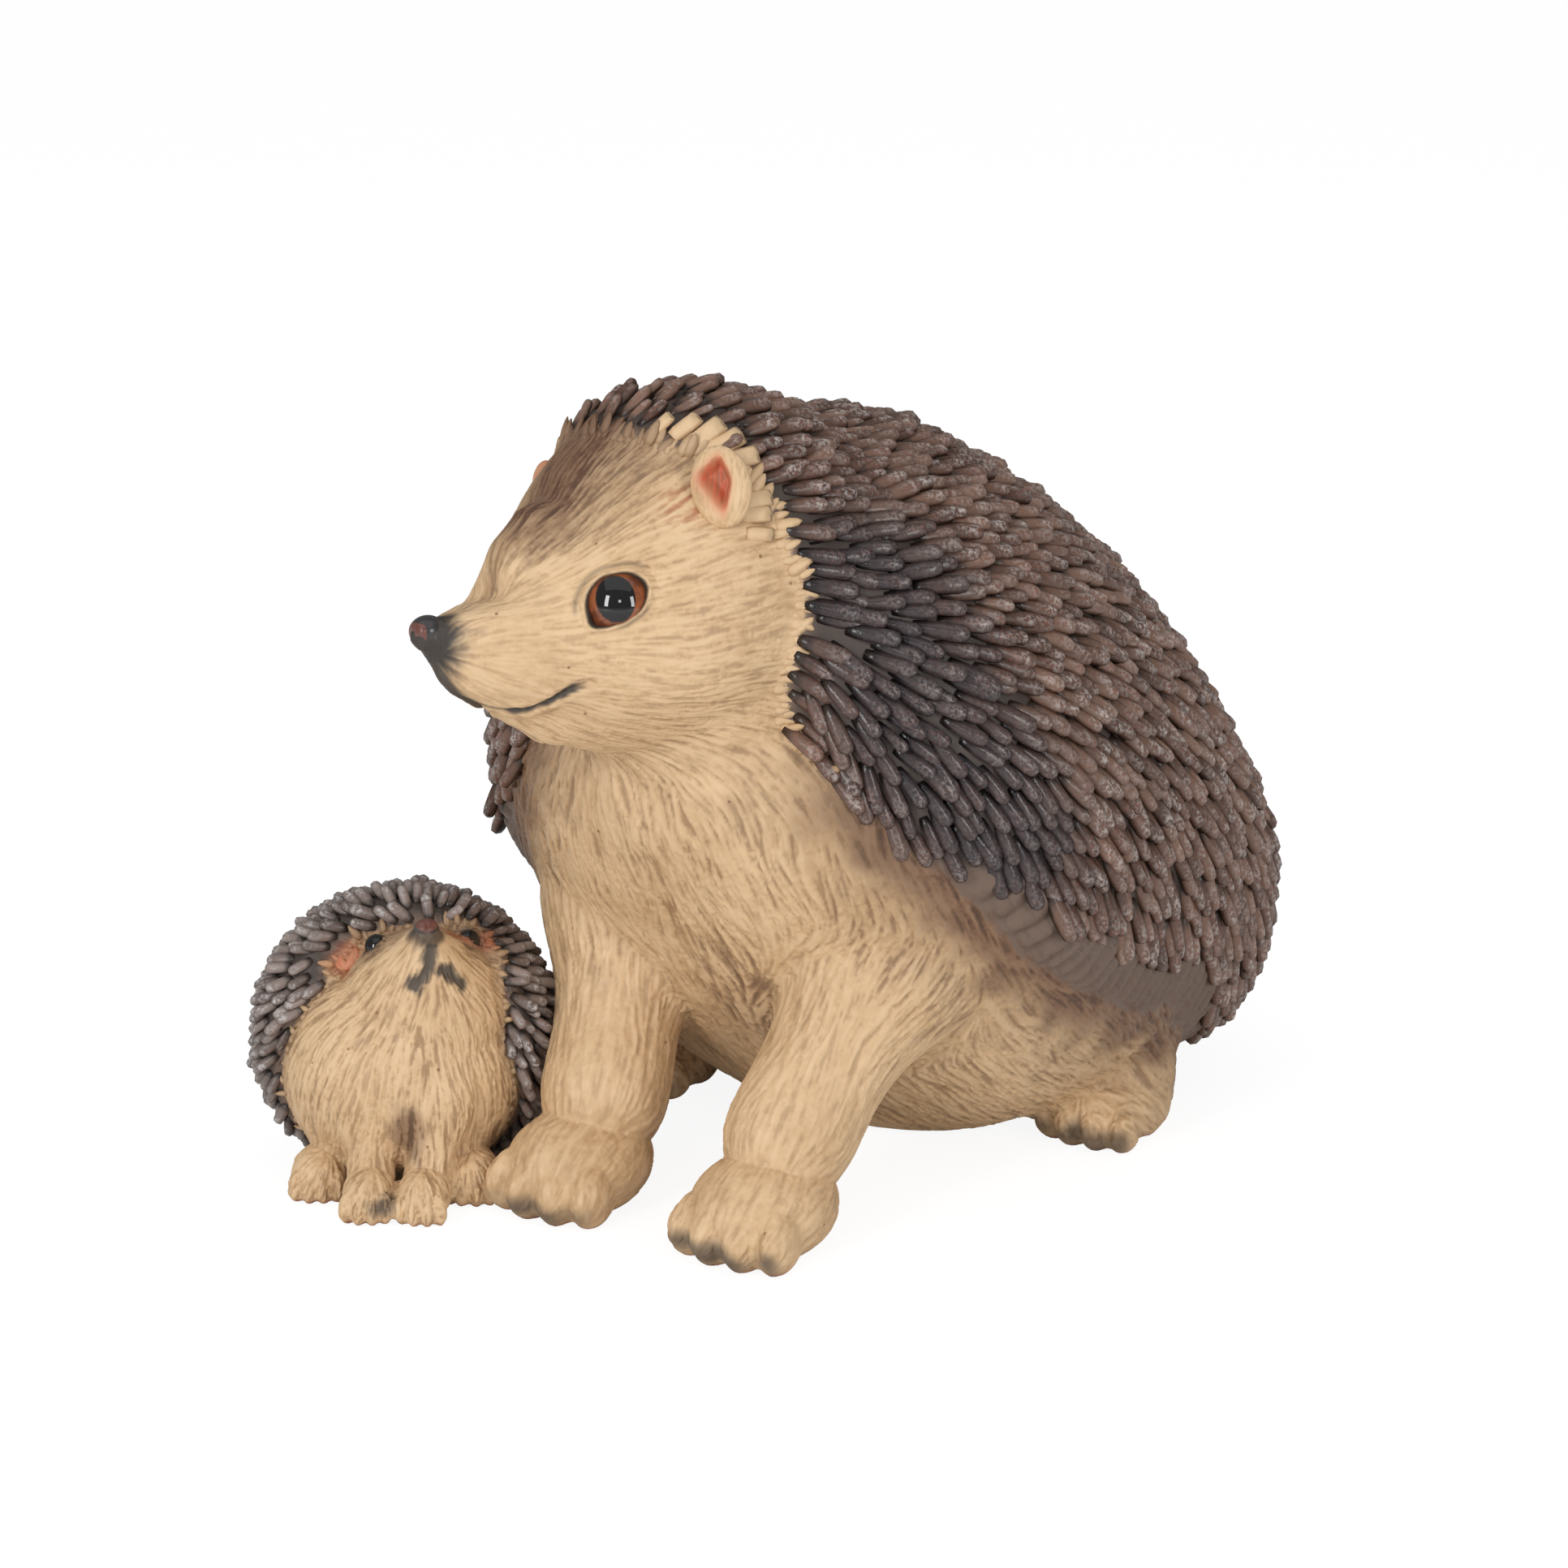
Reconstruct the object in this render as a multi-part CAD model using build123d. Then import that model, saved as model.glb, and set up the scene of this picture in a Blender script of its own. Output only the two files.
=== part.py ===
from build123d import *
import math
import os

os.makedirs("parts", exist_ok=True)

# A hedgehog figurine in cast and painted resin: a seated mother with a young one at her side.
# Working axes: x = 0 is the mother's centre line and +x is her left, y = 0 lies under her
# forepaws and +y runs back to her tail, z = 0 is the surface that she sits on.
# The finished figure is set over the middle of its own outline at the end.

# Spine coat of the mother
coat_length = 206.0
coat_half_width = 85.5
coat_height = 189.0
coat_front = 14.0
coat_low_bow_share = 0.86

# Each row: along, half width, widest height, top height and bottom height.
coat_ring_shares = (
    (0.000, 0.480, 0.646, 0.925, 0.375),
    (0.047, 0.650, 0.615, 0.980, 0.260),
    (0.121, 0.835, 0.573, 1.000, 0.146),
    (0.224, 0.965, 0.500, 1.000, 0.042),
    (0.364, 1.000, 0.438, 0.980, 0.010),
    (0.514, 1.000, 0.385, 0.910, 0.000),
    (0.654, 0.970, 0.330, 0.805, -0.010),
    (0.785, 0.890, 0.285, 0.665, -0.010),
    (0.897, 0.730, 0.250, 0.525, 0.010),
    (0.960, 0.500, 0.240, 0.415, 0.050),
    (0.990, 0.240, 0.240, 0.320, 0.130),
    (1.000, 0.060, 0.240, 0.260, 0.215),
)

# The coat's lower edge seen from the side, from the tail to the crown: along, height.
coat_edge_shares = (
    (0.790, 0.042),
    (0.694, 0.095),
    (0.598, 0.150),
    (0.495, 0.214),
    (0.370, 0.285),
    (0.269, 0.358),
    (0.188, 0.460),
    (0.143, 0.517),
    (0.112, 0.581),
    (0.086, 0.653),
    (0.070, 0.750),
    (0.060, 0.830),
    (0.045, 0.950),
    (0.024, 1.105),
)

# Raised quills of the coats, whose crests reach the coats' own sizes. The finer ones between are relief.
quill_pitch = 13.0
quill_length = 12.5
quill_width = 7.5
quill_rise = 2.4
quill_root_depth = 1.3
baby_quill_pitch = 8.5
baby_quill_length = 8.0
baby_quill_width = 5.0
baby_quill_rise = 1.5
baby_quill_root_depth = 0.8
quill_wide_share = 0.6
quill_tip_share = 0.45
quill_test_share = 0.8
quill_ground_share = 0.5
quill_top_slope = 14.0
quill_low_slope = 85.0
quill_spread_share = 0.25
curve_samples = 60

# Body of the mother, the cream part that the coat lies on
body_length = 206.0
body_half_width = 81.5
body_height = 178.0
body_front = 12.0
body_wall = 7.0

body_ring_shares = (
    (-0.030, 0.120, 0.600, 0.650, 0.560),
    (0.000, 0.330, 0.600, 0.740, 0.480),
    (0.050, 0.570, 0.580, 0.830, 0.380),
    (0.133, 0.790, 0.530, 0.940, 0.245),
    (0.229, 0.940, 0.470, 0.985, 0.130),
    (0.324, 0.990, 0.410, 0.980, 0.045),
    (0.419, 1.000, 0.360, 0.960, -0.010),
    (0.533, 1.000, 0.320, 0.880, -0.017),
    (0.676, 0.950, 0.285, 0.755, -0.017),
    (0.810, 0.840, 0.256, 0.600, 0.000),
    (0.924, 0.620, 0.240, 0.460, 0.035),
    (0.981, 0.330, 0.240, 0.350, 0.120),
)

neck_radius = 41.0
neck_back = 50.0
neck_height = 118.0
neck_top_radius = 36.0

# Head of the mother, turned to her right and leaning the same way
head_x = -4.0
head_y = 22.0
head_height = 150.0
head_turn = 20.0
head_lean = 12.0
head_reach = 66.5
head_half_width = 39.0
head_depth = 39.0

# Each row: ahead, middle height, half width, rise and drop.
head_ring_shares = (
    (1.000, 0.050, 0.110, 0.090, 0.120),
    (0.930, 0.030, 0.240, 0.170, 0.290),
    (0.760, 0.000, 0.400, 0.250, 0.490),
    (0.570, -0.020, 0.610, 0.510, 0.660),
    (0.360, 0.020, 0.840, 0.900, 0.830),
    (0.120, 0.060, 0.980, 1.090, 0.970),
    (-0.120, 0.080, 1.000, 1.090, 1.000),
    (-0.350, 0.080, 0.900, 0.970, 0.950),
    (-0.520, 0.070, 0.660, 0.740, 0.740),
    (-0.620, 0.060, 0.330, 0.420, 0.400),
)

head_wall = 6.0
crown_thickness = 5.0
# The coat's edge on the head, seen from the side: ahead, height.
crown_edge_shares = (
    (0.330, 1.400),
    (0.240, 1.060),
    (0.030, 0.780),
    (-0.100, 0.300),
    (-0.180, -0.200),
    (-0.300, -1.300),
)

muzzle_nose_radius = 5.5
muzzle_nose_height = 2.5
eye_radius = 6.6
eye_ahead = 31.0
eye_out = 23.0
eye_up = 3.8
ear_radius = 7.6
ear_thickness = 4.5
ear_ahead = 9.0
ear_out = 34.0
ear_up = 26.0
ear_turn = 32.0

# Forelegs and paws of the mother
shoulder_out = 39.0
shoulder_back = 61.0
shoulder_height = 78.0
wrist_out = 26.5
wrist_back = 23.0
wrist_height = 24.0
foreleg_top_radius = 23.0
foreleg_low_radius = 15.5
forepaw_half_width = 16.8
forepaw_half_length = 19.5
forepaw_height = 23.0
forepaw_back = 12.5
hind_paw_half_width = 14.0
hind_paw_half_length = 16.0
hind_paw_height = 19.0
hind_paw_out = 58.0
hind_paw_back = 123.0
hind_paw_far_back = 94.0
hind_leg_radius = 14.0
hind_leg_height = 38.0
toe_count = 4
toe_spread = 76.0
toe_width_share = 0.31
toe_length_share = 0.52
toe_height_share = 0.36
toe_place_share = 0.62
pad_height_share = 0.56
toe_lift_share = 0.85

# The young one, seated at the mother's right
baby_x = -73.5
baby_y = 4.0
baby_turn = 30.0
baby_coat_half_width = 36.5
baby_coat_half_depth = 34.0
baby_coat_height = 69.0
baby_coat_back = 9.0
baby_coat_low = 3.0
baby_body_half_width = 29.5
baby_body_half_depth = 29.0
baby_body_height = 54.0
baby_wall = 5.0
# The coat's edge on the young one, seen from its side: along, height.
baby_coat_edge_shares = (
    (0.300, -0.200),
    (-0.020, 0.150),
    (-0.150, 0.400),
    (-0.130, 0.680),
    (0.060, 0.900),
    (0.300, 1.150),
)

baby_head_radius = 20.5
baby_head_height = 48.0
baby_head_ahead = 4.0
baby_head_out = 6.5
baby_head_turn = 12.0
baby_head_pitch = 58.0
baby_snout_reach = 22.0
baby_head_ring_shares = (
    (1.000, 0.000, 0.150, 0.130, 0.140),
    (0.880, 0.000, 0.280, 0.250, 0.300),
    (0.560, 0.000, 0.580, 0.520, 0.600),
    (0.200, 0.000, 0.880, 0.820, 0.880),
    (-0.180, 0.000, 1.000, 1.000, 1.000),
    (-0.550, 0.000, 0.850, 0.850, 0.850),
    (-0.820, 0.000, 0.450, 0.450, 0.450),
)

baby_nose_radius = 3.4
baby_eye_radius = 2.8
baby_eye_ahead = 9.0
baby_eye_out = 11.0
baby_eye_up = 8.0
baby_ear_radius = 5.5
baby_ear_thickness = 3.2
baby_ear_ahead = 2.5
baby_ear_out = 17.5
baby_ear_up = 10.0
baby_forepaw_half_width = 6.2
baby_forepaw_half_length = 9.5
baby_forepaw_height = 12.0
baby_forepaw_ahead = 27.0
baby_shoulder_out = 10.0
baby_shoulder_ahead = 14.0
baby_shoulder_height = 30.0
baby_foreleg_top_radius = 9.0
baby_foreleg_low_radius = 5.6
baby_forepaw_out = 6.6
baby_forepaw_shift = 2.0
baby_hind_paw_half_width = 7.0
baby_hind_paw_half_length = 9.0
baby_hind_paw_height = 12.0
baby_hind_paw_out = 18.5
baby_hind_paw_ahead = 14.0

nose_length_share = 0.85
nose_depth_share = 0.85
ear_height_share = 1.12
ear_scoop_share = 0.74
ring_points = 12
limb_end_rings = 3
limb_tip_share = 0.12
overrun = 60.0


def ring(x, y, z, half_width, rise, drop, low_bow=1.0):
    """A closed oval across the length, with one rise above its widest line and one drop below.

    A low bow under one fills out the lower half towards a rectangle."""
    points = []
    for step in range(ring_points):
        turn = 2 * math.pi * step / ring_points
        up = math.sin(turn)
        out = math.cos(turn)
        reach = rise
        if up < 0:
            reach = drop
            up = -abs(up) ** low_bow
            out = math.copysign(abs(out) ** low_bow, out)
        points.append((x + half_width * out, y, z + reach * up))
    return Wire([Spline(*points, periodic=True)])


def ringed(rows):
    """A closed form lofted through ovals, each a row of x, y, z, half width, rise and drop."""
    return Solid.make_loft([ring(*row) for row in rows])


def ellipsoid(x_radius, y_radius, z_radius):
    return scale(Sphere(1), by=(x_radius, y_radius, z_radius))


def body_rows(shares, front, length, half_width, height, inset=0.0, low_bow=1.0):
    """Rows for ovals whose top and bottom are given as heights over the ground."""
    rows = []
    for along, wide, middle, top, bottom in shares:
        rows.append((
            0,
            front + inset + along * (length - 2 * inset),
            middle * height,
            wide * half_width - inset,
            (top - middle) * height - inset,
            (middle - bottom) * height - inset,
            low_bow,
        ))
    return rows


def side_prism(shares, length, height, back, half_width):
    """Everything behind and above an edge that is given in the side view."""
    edge = [(along * length, share * height) for along, share in shares]
    first = edge[0]
    last = edge[-1]
    outline = Wire([
        Spline(*[(0, y, z) for y, z in edge]),
        *Polyline((0, *last), (0, back, last[1]), (0, back, first[1]), (0, *first)).edges(),
    ])
    return extrude(Face(outline), amount=half_width, dir=(1, 0, 0), both=True)


def even_shares(place, pitch, start):
    """Shares of a curve that lie a pitch apart along it, from a start that is a share of the pitch."""
    samples = [place(step / curve_samples) for step in range(curve_samples + 1)]
    lengths = [0]
    for first, second in zip(samples, samples[1:]):
        lengths.append(lengths[-1] + (second - first).length)
    count = max(1, round(lengths[-1] / pitch))
    shares = []
    step = 0
    for number in range(count):
        target = (number + start) * lengths[-1] / count
        while lengths[step + 1] < target:
            step += 1
        part = (target - lengths[step]) / (lengths[step + 1] - lengths[step])
        shares.append((step + part) / curve_samples)
    return shares


def quill(length, width, rise, root_depth):
    """One raised quill along +y: a keel that climbs from its root and ends in a low tip."""
    wide = length * quill_wide_share
    section = [(-width / 2, wide, -root_depth), (0, wide, rise), (width / 2, wide, -root_depth)]
    tip = Vertex(0, length, rise * quill_tip_share)
    return Solid.make_loft([Vertex(0, 0, -root_depth), Wire.make_polygon(section, close=True), tip], ruled=True)


def quills_on(ground, form, way, pitch, length, width, rise, root_depth):
    """Raised quills on a form, in staggered rings a pitch apart, wherever there is ground under them.

    The way gives the direction in which a quill at a spot lies."""
    one = quill(length, width, rise, root_depth)
    skin = max(form.faces(), key=lambda face: face.area)
    quills = []
    for row, along in enumerate(even_shares(lambda share: skin.position_at(1 / 4, share), pitch, 1 / 2)):
        for around in even_shares(lambda share: skin.position_at(share, along), pitch, row % 2 / 2):
            spot = skin.position_at(around, along)
            normal = skin.normal_at(around, along)
            flow = way(spot)
            flow = (flow - normal * flow.dot(normal)).normalized()
            root = spot - normal * root_depth
            wide = root + flow * length * quill_wide_share
            aside = flow.cross(normal) * width / 2
            feet = (root, wide + aside, wide - aside, root + flow * length * quill_test_share)
            if all(ground.is_inside(foot) for foot in feet):
                quills.append(Plane(origin=spot, x_dir=aside, z_dir=normal).location * one)
    return quills


def down_the_coat(spot):
    """The lie of the mother's quills: backwards on top and down at the flanks."""
    slope = quill_low_slope + (quill_top_slope - quill_low_slope) * spot.Z / coat_height
    slope = math.radians(slope)
    aside = math.copysign(quill_spread_share * math.cos(slope), spot.X)
    return Vector(aside, math.cos(slope), -math.sin(slope))


def limb(start, end, start_radius, end_radius):
    """A tapered rod with round ends, lofted along the line between two points."""
    start = Vector(*start)
    end = Vector(*end)
    line = end - start
    length = line.length
    along = line.normalized()
    across = (Vector(1, 0, 0) - along * along.X).normalized()
    rows = []
    for step in range(1, limb_end_rings + 1):
        turn = math.pi / 2 * step / limb_end_rings
        radius = start_radius * math.sin(turn)
        rows.append((0, -start_radius * math.cos(turn), 0, radius, radius, radius))
    for step in range(1, limb_end_rings + 1):
        turn = math.pi / 2 * step / limb_end_rings
        radius = end_radius * math.cos(turn)
        if step == limb_end_rings:
            turn = math.pi / 2 * (1 - limb_tip_share)
            radius = end_radius * math.cos(turn)
        rows.append((0, length + end_radius * math.sin(turn), 0, radius, radius, radius))
    middle_radius = (start_radius + end_radius) / 2
    rows.insert(limb_end_rings, (0, length / 2, 0, middle_radius, middle_radius, middle_radius))
    rows.insert(limb_end_rings + 1, (0, length, 0, end_radius, end_radius, end_radius))
    place = Plane(origin=start, x_dir=across, z_dir=across.cross(along))
    return place.location * ringed(rows)


def paw(half_width, half_length, height):
    """A round paw that points along -y, with a row of toes around its front."""
    pad_height = height * pad_height_share
    pad = Pos(0, 0, height - pad_height) * ellipsoid(half_width, half_length, pad_height)
    toe_height = height * toe_height_share
    toes = []
    for number in range(toe_count):
        turn = toe_spread * (number / (toe_count - 1) - 1 / 2)
        toe = ellipsoid(half_width * toe_width_share, half_length * toe_length_share, toe_height)
        out = half_width * toe_place_share * math.sin(math.radians(turn)) / math.sin(math.radians(toe_spread / 2))
        ahead = half_length * toe_place_share * math.cos(math.radians(turn))
        toes.append(Pos(out, -ahead, toe_height * toe_lift_share) * Rot(0, 0, turn / 2) * toe)
    return above_ground(pad.fuse(*toes))


def above_ground(shape):
    """The part of a shape that is over the surface the figurine stands on."""
    room = coat_length + coat_height
    return shape & Pos(0, 0, room) * Box(2 * room, 4 * room, 2 * room)


def head_form(shares, reach, half_width, depth, thicker=0.0):
    """A head that points along -y, with its rings grown by a thickness or shrunk by a wall."""
    rows = []
    for ahead, middle, wide, rise, drop in shares:
        rows.append((
            0,
            -ahead * (reach + thicker),
            middle * depth,
            wide * half_width + thicker,
            rise * depth + thicker,
            drop * depth + thicker,
        ))
    return ringed(rows)


# Mother's head and crown

head_place = Pos(head_x, head_y, head_height) * Rot(0, 0, -head_turn) * Rot(0, -head_lean, 0)
head_full = head_place * head_form(head_ring_shares, head_reach, head_half_width, head_depth)
head_cavity = head_place * head_form(head_ring_shares[2:-1], head_reach, head_half_width, head_depth, -head_wall)
crown_form = head_form(
    head_ring_shares, head_reach, head_half_width, head_depth, crown_thickness - quill_rise * quill_ground_share)
crown_room = head_half_width + crown_thickness + overrun
crown_prism = side_prism(
    [(-ahead, up) for ahead, up in crown_edge_shares[::-1]], head_reach, head_depth, head_reach * 2, crown_room)
crown = head_place * (crown_form & crown_prism)

nose = head_place * Pos(0, -head_reach, muzzle_nose_height) * ellipsoid(
    muzzle_nose_radius, muzzle_nose_radius * nose_length_share, muzzle_nose_radius * nose_depth_share)
eyes = {}
ears = {}
for side, sign in (("left", 1), ("right", -1)):
    eyes[side] = head_place * Pos(sign * eye_out, -eye_ahead, eye_up) * Sphere(eye_radius)
    cup = ellipsoid(ear_radius, ear_thickness, ear_radius * ear_height_share)
    scoop = Pos(0, -ear_thickness, 0) * ellipsoid(
        ear_radius * ear_scoop_share, ear_thickness, ear_radius * ear_height_share * ear_scoop_share)
    ears[side] = head_place * Pos(sign * ear_out, -ear_ahead, ear_up) * Rot(0, 0, sign * ear_turn) * (cup - scoop)

# Mother's body, legs and spine coat

body_full = ringed(body_rows(body_ring_shares, body_front, body_length, body_half_width, body_height))
neck = limb((0, neck_back, neck_height), (head_x, head_y, head_height), neck_radius, neck_top_radius)
body_full = above_ground(body_full.fuse(neck))
body_cavity = ringed(body_rows(
    body_ring_shares[2:-1], body_front, body_length, body_half_width, body_height, body_wall))
body_cavity = body_cavity & Pos(0, 0, body_height / 2 + body_wall) * Box(
    body_half_width * 4, body_length * 4, body_height)

coat_form = ringed(body_rows(
    coat_ring_shares, coat_front, coat_length, coat_half_width, coat_height,
    quill_rise * quill_ground_share, coat_low_bow_share))
coat_prism = side_prism(
    coat_edge_shares, coat_length, coat_height, coat_length + overrun * 2, coat_half_width + overrun)
coat_full = (coat_form & coat_prism).fuse(crown)


# Where the larger pieces end, the smaller ones begin

legs = {}
paws = {}
for side, sign in (("left", 1), ("right", -1)):
    shoulder = (sign * shoulder_out, shoulder_back, shoulder_height)
    wrist = (sign * wrist_out, wrist_back, wrist_height)
    legs[side + "_foreleg"] = limb(shoulder, wrist, foreleg_top_radius, foreleg_low_radius)
    paws[side + "_forepaw"] = Pos(sign * wrist_out, forepaw_back, 0) * paw(
        forepaw_half_width, forepaw_half_length, forepaw_height)
    back = hind_paw_back if side == "left" else hind_paw_far_back
    hip = (sign * hind_paw_out, back + hind_paw_half_length / 2, hind_leg_height)
    heel = (sign * hind_paw_out, back + hind_paw_half_length / 4, hind_paw_height / 2)
    legs[side + "_hind_leg"] = limb(hip, heel, hind_leg_radius, hind_leg_radius)
    paws[side + "_hind_paw"] = Pos(sign * hind_paw_out, back, 0) * paw(
        hind_paw_half_width, hind_paw_half_length, hind_paw_height)

nodes = {}
eye_pair = eyes["left"].fuse(eyes["right"])
head = head_full - head_cavity - nose - eye_pair
body = body_full - head_full - body_cavity
coat_ground = coat_full - body_full - head_full - ears["left"] - ears["right"]
quill_sizes = (quill_pitch, quill_length, quill_width, quill_rise, quill_root_depth)
coat_quills = quills_on(coat_ground, coat_form, down_the_coat, *quill_sizes)
backwards = (head_place * Pos(0, 1, 0)).position - head_place.position
for one in quills_on(coat_ground, head_place * crown_form, lambda spot: backwards, *quill_sizes):
    if not coat_form.is_inside(one.center()):
        coat_quills.append(one)
coat = coat_ground.fuse(*coat_quills)
nodes["mother_body"] = body
nodes["mother_head"] = head
nodes["mother_spine_coat"] = coat
nodes["mother_nose"] = nose
for side in ("left", "right"):
    nodes[f"mother_{side}_eye"] = eyes[side]
    nodes[f"mother_{side}_ear"] = ears[side] - head_full
for name, leg in legs.items():
    nodes[f"mother_{name}"] = above_ground(leg) - body_full - coat_ground
for name, foot in paws.items():
    leg = legs[name.replace("forepaw", "foreleg").replace("hind_paw", "hind_leg")]
    nodes[f"mother_{name}"] = foot - above_ground(leg) - body_full

# The young one

baby_place = Pos(baby_x, baby_y, 0) * Rot(0, 0, baby_turn)
mother_side = nodes["mother_right_foreleg"].fuse(nodes["mother_right_forepaw"])
baby_ground_inset = baby_quill_rise * quill_ground_share
baby_coat_rise = baby_coat_height / 2 + baby_coat_low / 2
baby_body_rise = baby_body_height / 2
baby_coat_form = Pos(0, baby_coat_back, baby_coat_height - baby_coat_rise) * ellipsoid(
    baby_coat_half_width - baby_ground_inset, baby_coat_half_depth - baby_ground_inset,
    baby_coat_rise - baby_ground_inset)
baby_coat_prism = side_prism(
    baby_coat_edge_shares, baby_coat_half_depth, baby_coat_height, baby_coat_half_depth * 2,
    baby_coat_half_width + overrun)
baby_body_form = Pos(0, baby_coat_low, baby_body_rise) * ellipsoid(
    baby_body_half_width, baby_body_half_depth, baby_body_rise + baby_coat_low / 2)
baby_hollow_form = Pos(0, baby_coat_low, baby_body_rise) * ellipsoid(
    baby_body_half_width - baby_wall, baby_body_half_depth - baby_wall, baby_body_rise - baby_wall)
baby_head_place = (
    Pos(baby_head_out, -baby_head_ahead, baby_head_height)
    * Rot(0, 0, baby_head_turn) * Rot(-baby_head_pitch, 0, 0))
baby_head_form = baby_head_place * head_form(
    baby_head_ring_shares, baby_snout_reach, baby_head_radius, baby_head_radius)
baby_nose_form = baby_head_place * Pos(0, -baby_snout_reach, 0) * Sphere(baby_nose_radius)

baby_head_full = baby_place * baby_head_form
baby_body_full = above_ground(baby_place * baby_body_form) - mother_side
baby_coat_full = above_ground(baby_place * (baby_coat_form & baby_coat_prism)) - mother_side
baby_nose = baby_place * baby_nose_form
baby_eyes = {}
baby_ears = {}
for side, sign in (("left", 1), ("right", -1)):
    baby_eyes[side] = baby_place * baby_head_place * Pos(
        sign * baby_eye_out, -baby_eye_ahead, baby_eye_up) * Sphere(baby_eye_radius)
    cup = ellipsoid(baby_ear_radius, baby_ear_thickness, baby_ear_radius)
    scoop = Pos(0, -baby_ear_thickness, 0) * ellipsoid(
        baby_ear_radius * ear_scoop_share, baby_ear_thickness, baby_ear_radius * ear_scoop_share)
    baby_ears[side] = baby_place * baby_head_place * Pos(
        sign * baby_ear_out, -baby_ear_ahead, baby_ear_up) * Rot(0, 0, sign * ear_turn) * (cup - scoop)

baby_body = baby_body_full - baby_head_full - baby_place * baby_hollow_form
nodes["baby_body"] = baby_body
nodes["baby_head"] = baby_head_full - baby_nose - baby_eyes["left"] - baby_eyes["right"]
baby_coat_ground = (
    baby_coat_full - baby_body_full - baby_head_full
    - baby_ears["left"] - baby_ears["right"] - baby_eyes["left"] - baby_eyes["right"])
baby_face = (baby_place * Pos(baby_head_out, -baby_coat_half_depth, baby_coat_height)).position
baby_quills = quills_on(
    baby_coat_ground, baby_place * baby_coat_form, lambda spot: spot - baby_face,
    baby_quill_pitch, baby_quill_length, baby_quill_width, baby_quill_rise, baby_quill_root_depth)
nodes["baby_spine_coat"] = baby_coat_ground.fuse(*baby_quills)
nodes["baby_nose"] = baby_nose
for side, sign in (("left", 1), ("right", -1)):
    nodes[f"baby_{side}_eye"] = baby_eyes[side]
    nodes[f"baby_{side}_ear"] = baby_ears[side] - baby_head_full
    paw_x = baby_forepaw_shift + sign * baby_forepaw_out
    paw_y = -baby_forepaw_ahead
    shoulder = (baby_forepaw_shift + sign * baby_shoulder_out, -baby_shoulder_ahead, baby_shoulder_height)
    wrist = (paw_x, paw_y + baby_forepaw_half_length / 3, baby_forepaw_height * pad_height_share)
    foreleg = baby_place * limb(shoulder, wrist, baby_foreleg_top_radius, baby_foreleg_low_radius)
    forepaw = baby_place * Pos(paw_x, paw_y, 0) * paw(
        baby_forepaw_half_width, baby_forepaw_half_length, baby_forepaw_height)
    hind_paw = baby_place * Pos(sign * baby_hind_paw_out, -baby_hind_paw_ahead, 0) * paw(
        baby_hind_paw_half_width, baby_hind_paw_half_length, baby_hind_paw_height)
    nodes[f"baby_{side}_foreleg"] = above_ground(foreleg) - baby_body_full - baby_head_full
    nodes[f"baby_{side}_forepaw"] = forepaw - above_ground(foreleg) - baby_body_full
    nodes[f"baby_{side}_hind_paw"] = (
        hind_paw - foreleg - forepaw - baby_body_full - baby_coat_ground - mother_side)

# The finished figure, set over the middle of its outline

outline = Compound(list(nodes.values())).bounding_box()
middle = Pos(-(outline.min.X + outline.max.X) / 2, -(outline.min.Y + outline.max.Y) / 2, 0)
for name, shape in nodes.items():
    export_step(middle * shape, f"parts/{name}.step")
print("length, width and height", outline.size.Y, outline.size.X, outline.size.Z)
print("raised quills", len(coat_quills), "and", len(baby_quills))
print("moved by", middle.position)
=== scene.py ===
"""A cast resin hedgehog figurine with her young one, hand painted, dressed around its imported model.

Sizes are in millimetres. Work meshes are in millimetres too, and become metres when a piece is
finished. Her left is +x, she faces -y, and z is up.
"""

import logging
import math
from collections.abc import Sequence
from dataclasses import dataclass, field
from enum import Enum, IntEnum

import bmesh
import bpy
import numpy as np
from bpy.types import Material, Mesh, Node, NodeSocket, NodeTree, Object
from mathutils import Matrix, Vector
from mathutils.bvhtree import BVHTree
from mathutils.kdtree import KDTree


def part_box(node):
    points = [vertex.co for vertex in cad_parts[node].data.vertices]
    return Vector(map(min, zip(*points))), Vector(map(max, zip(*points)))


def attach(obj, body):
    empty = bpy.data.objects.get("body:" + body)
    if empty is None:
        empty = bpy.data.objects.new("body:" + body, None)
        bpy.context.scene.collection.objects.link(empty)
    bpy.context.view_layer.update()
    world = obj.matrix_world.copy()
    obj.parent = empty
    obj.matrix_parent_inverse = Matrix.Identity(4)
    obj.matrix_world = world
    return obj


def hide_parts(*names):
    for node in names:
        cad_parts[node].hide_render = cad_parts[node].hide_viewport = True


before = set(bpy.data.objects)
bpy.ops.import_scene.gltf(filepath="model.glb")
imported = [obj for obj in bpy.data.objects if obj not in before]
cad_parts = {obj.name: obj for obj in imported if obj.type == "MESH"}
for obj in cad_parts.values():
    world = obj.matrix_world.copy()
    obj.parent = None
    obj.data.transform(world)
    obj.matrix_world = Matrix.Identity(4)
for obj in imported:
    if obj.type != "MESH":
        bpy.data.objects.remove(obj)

MM = 0.001
LOG = logging.getLogger("figurine")
Array = np.ndarray
Triple = tuple[float, float, float]
Tone = tuple[int, int, int]


class Slot(Enum):
    """The material slots of the record."""

    CREAM_FUR = "cream_fur"
    BROWN_QUILLS = "brown_quills"
    NOSE = "nose"
    EYE = "eye"
    EAR = "ear"


class Side(Enum):
    """Her left and her right."""

    LEFT = 1
    RIGHT = -1

    @property
    def word(self) -> str:
        """The side's name as the nodes write it."""
        return self.name.lower()


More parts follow.
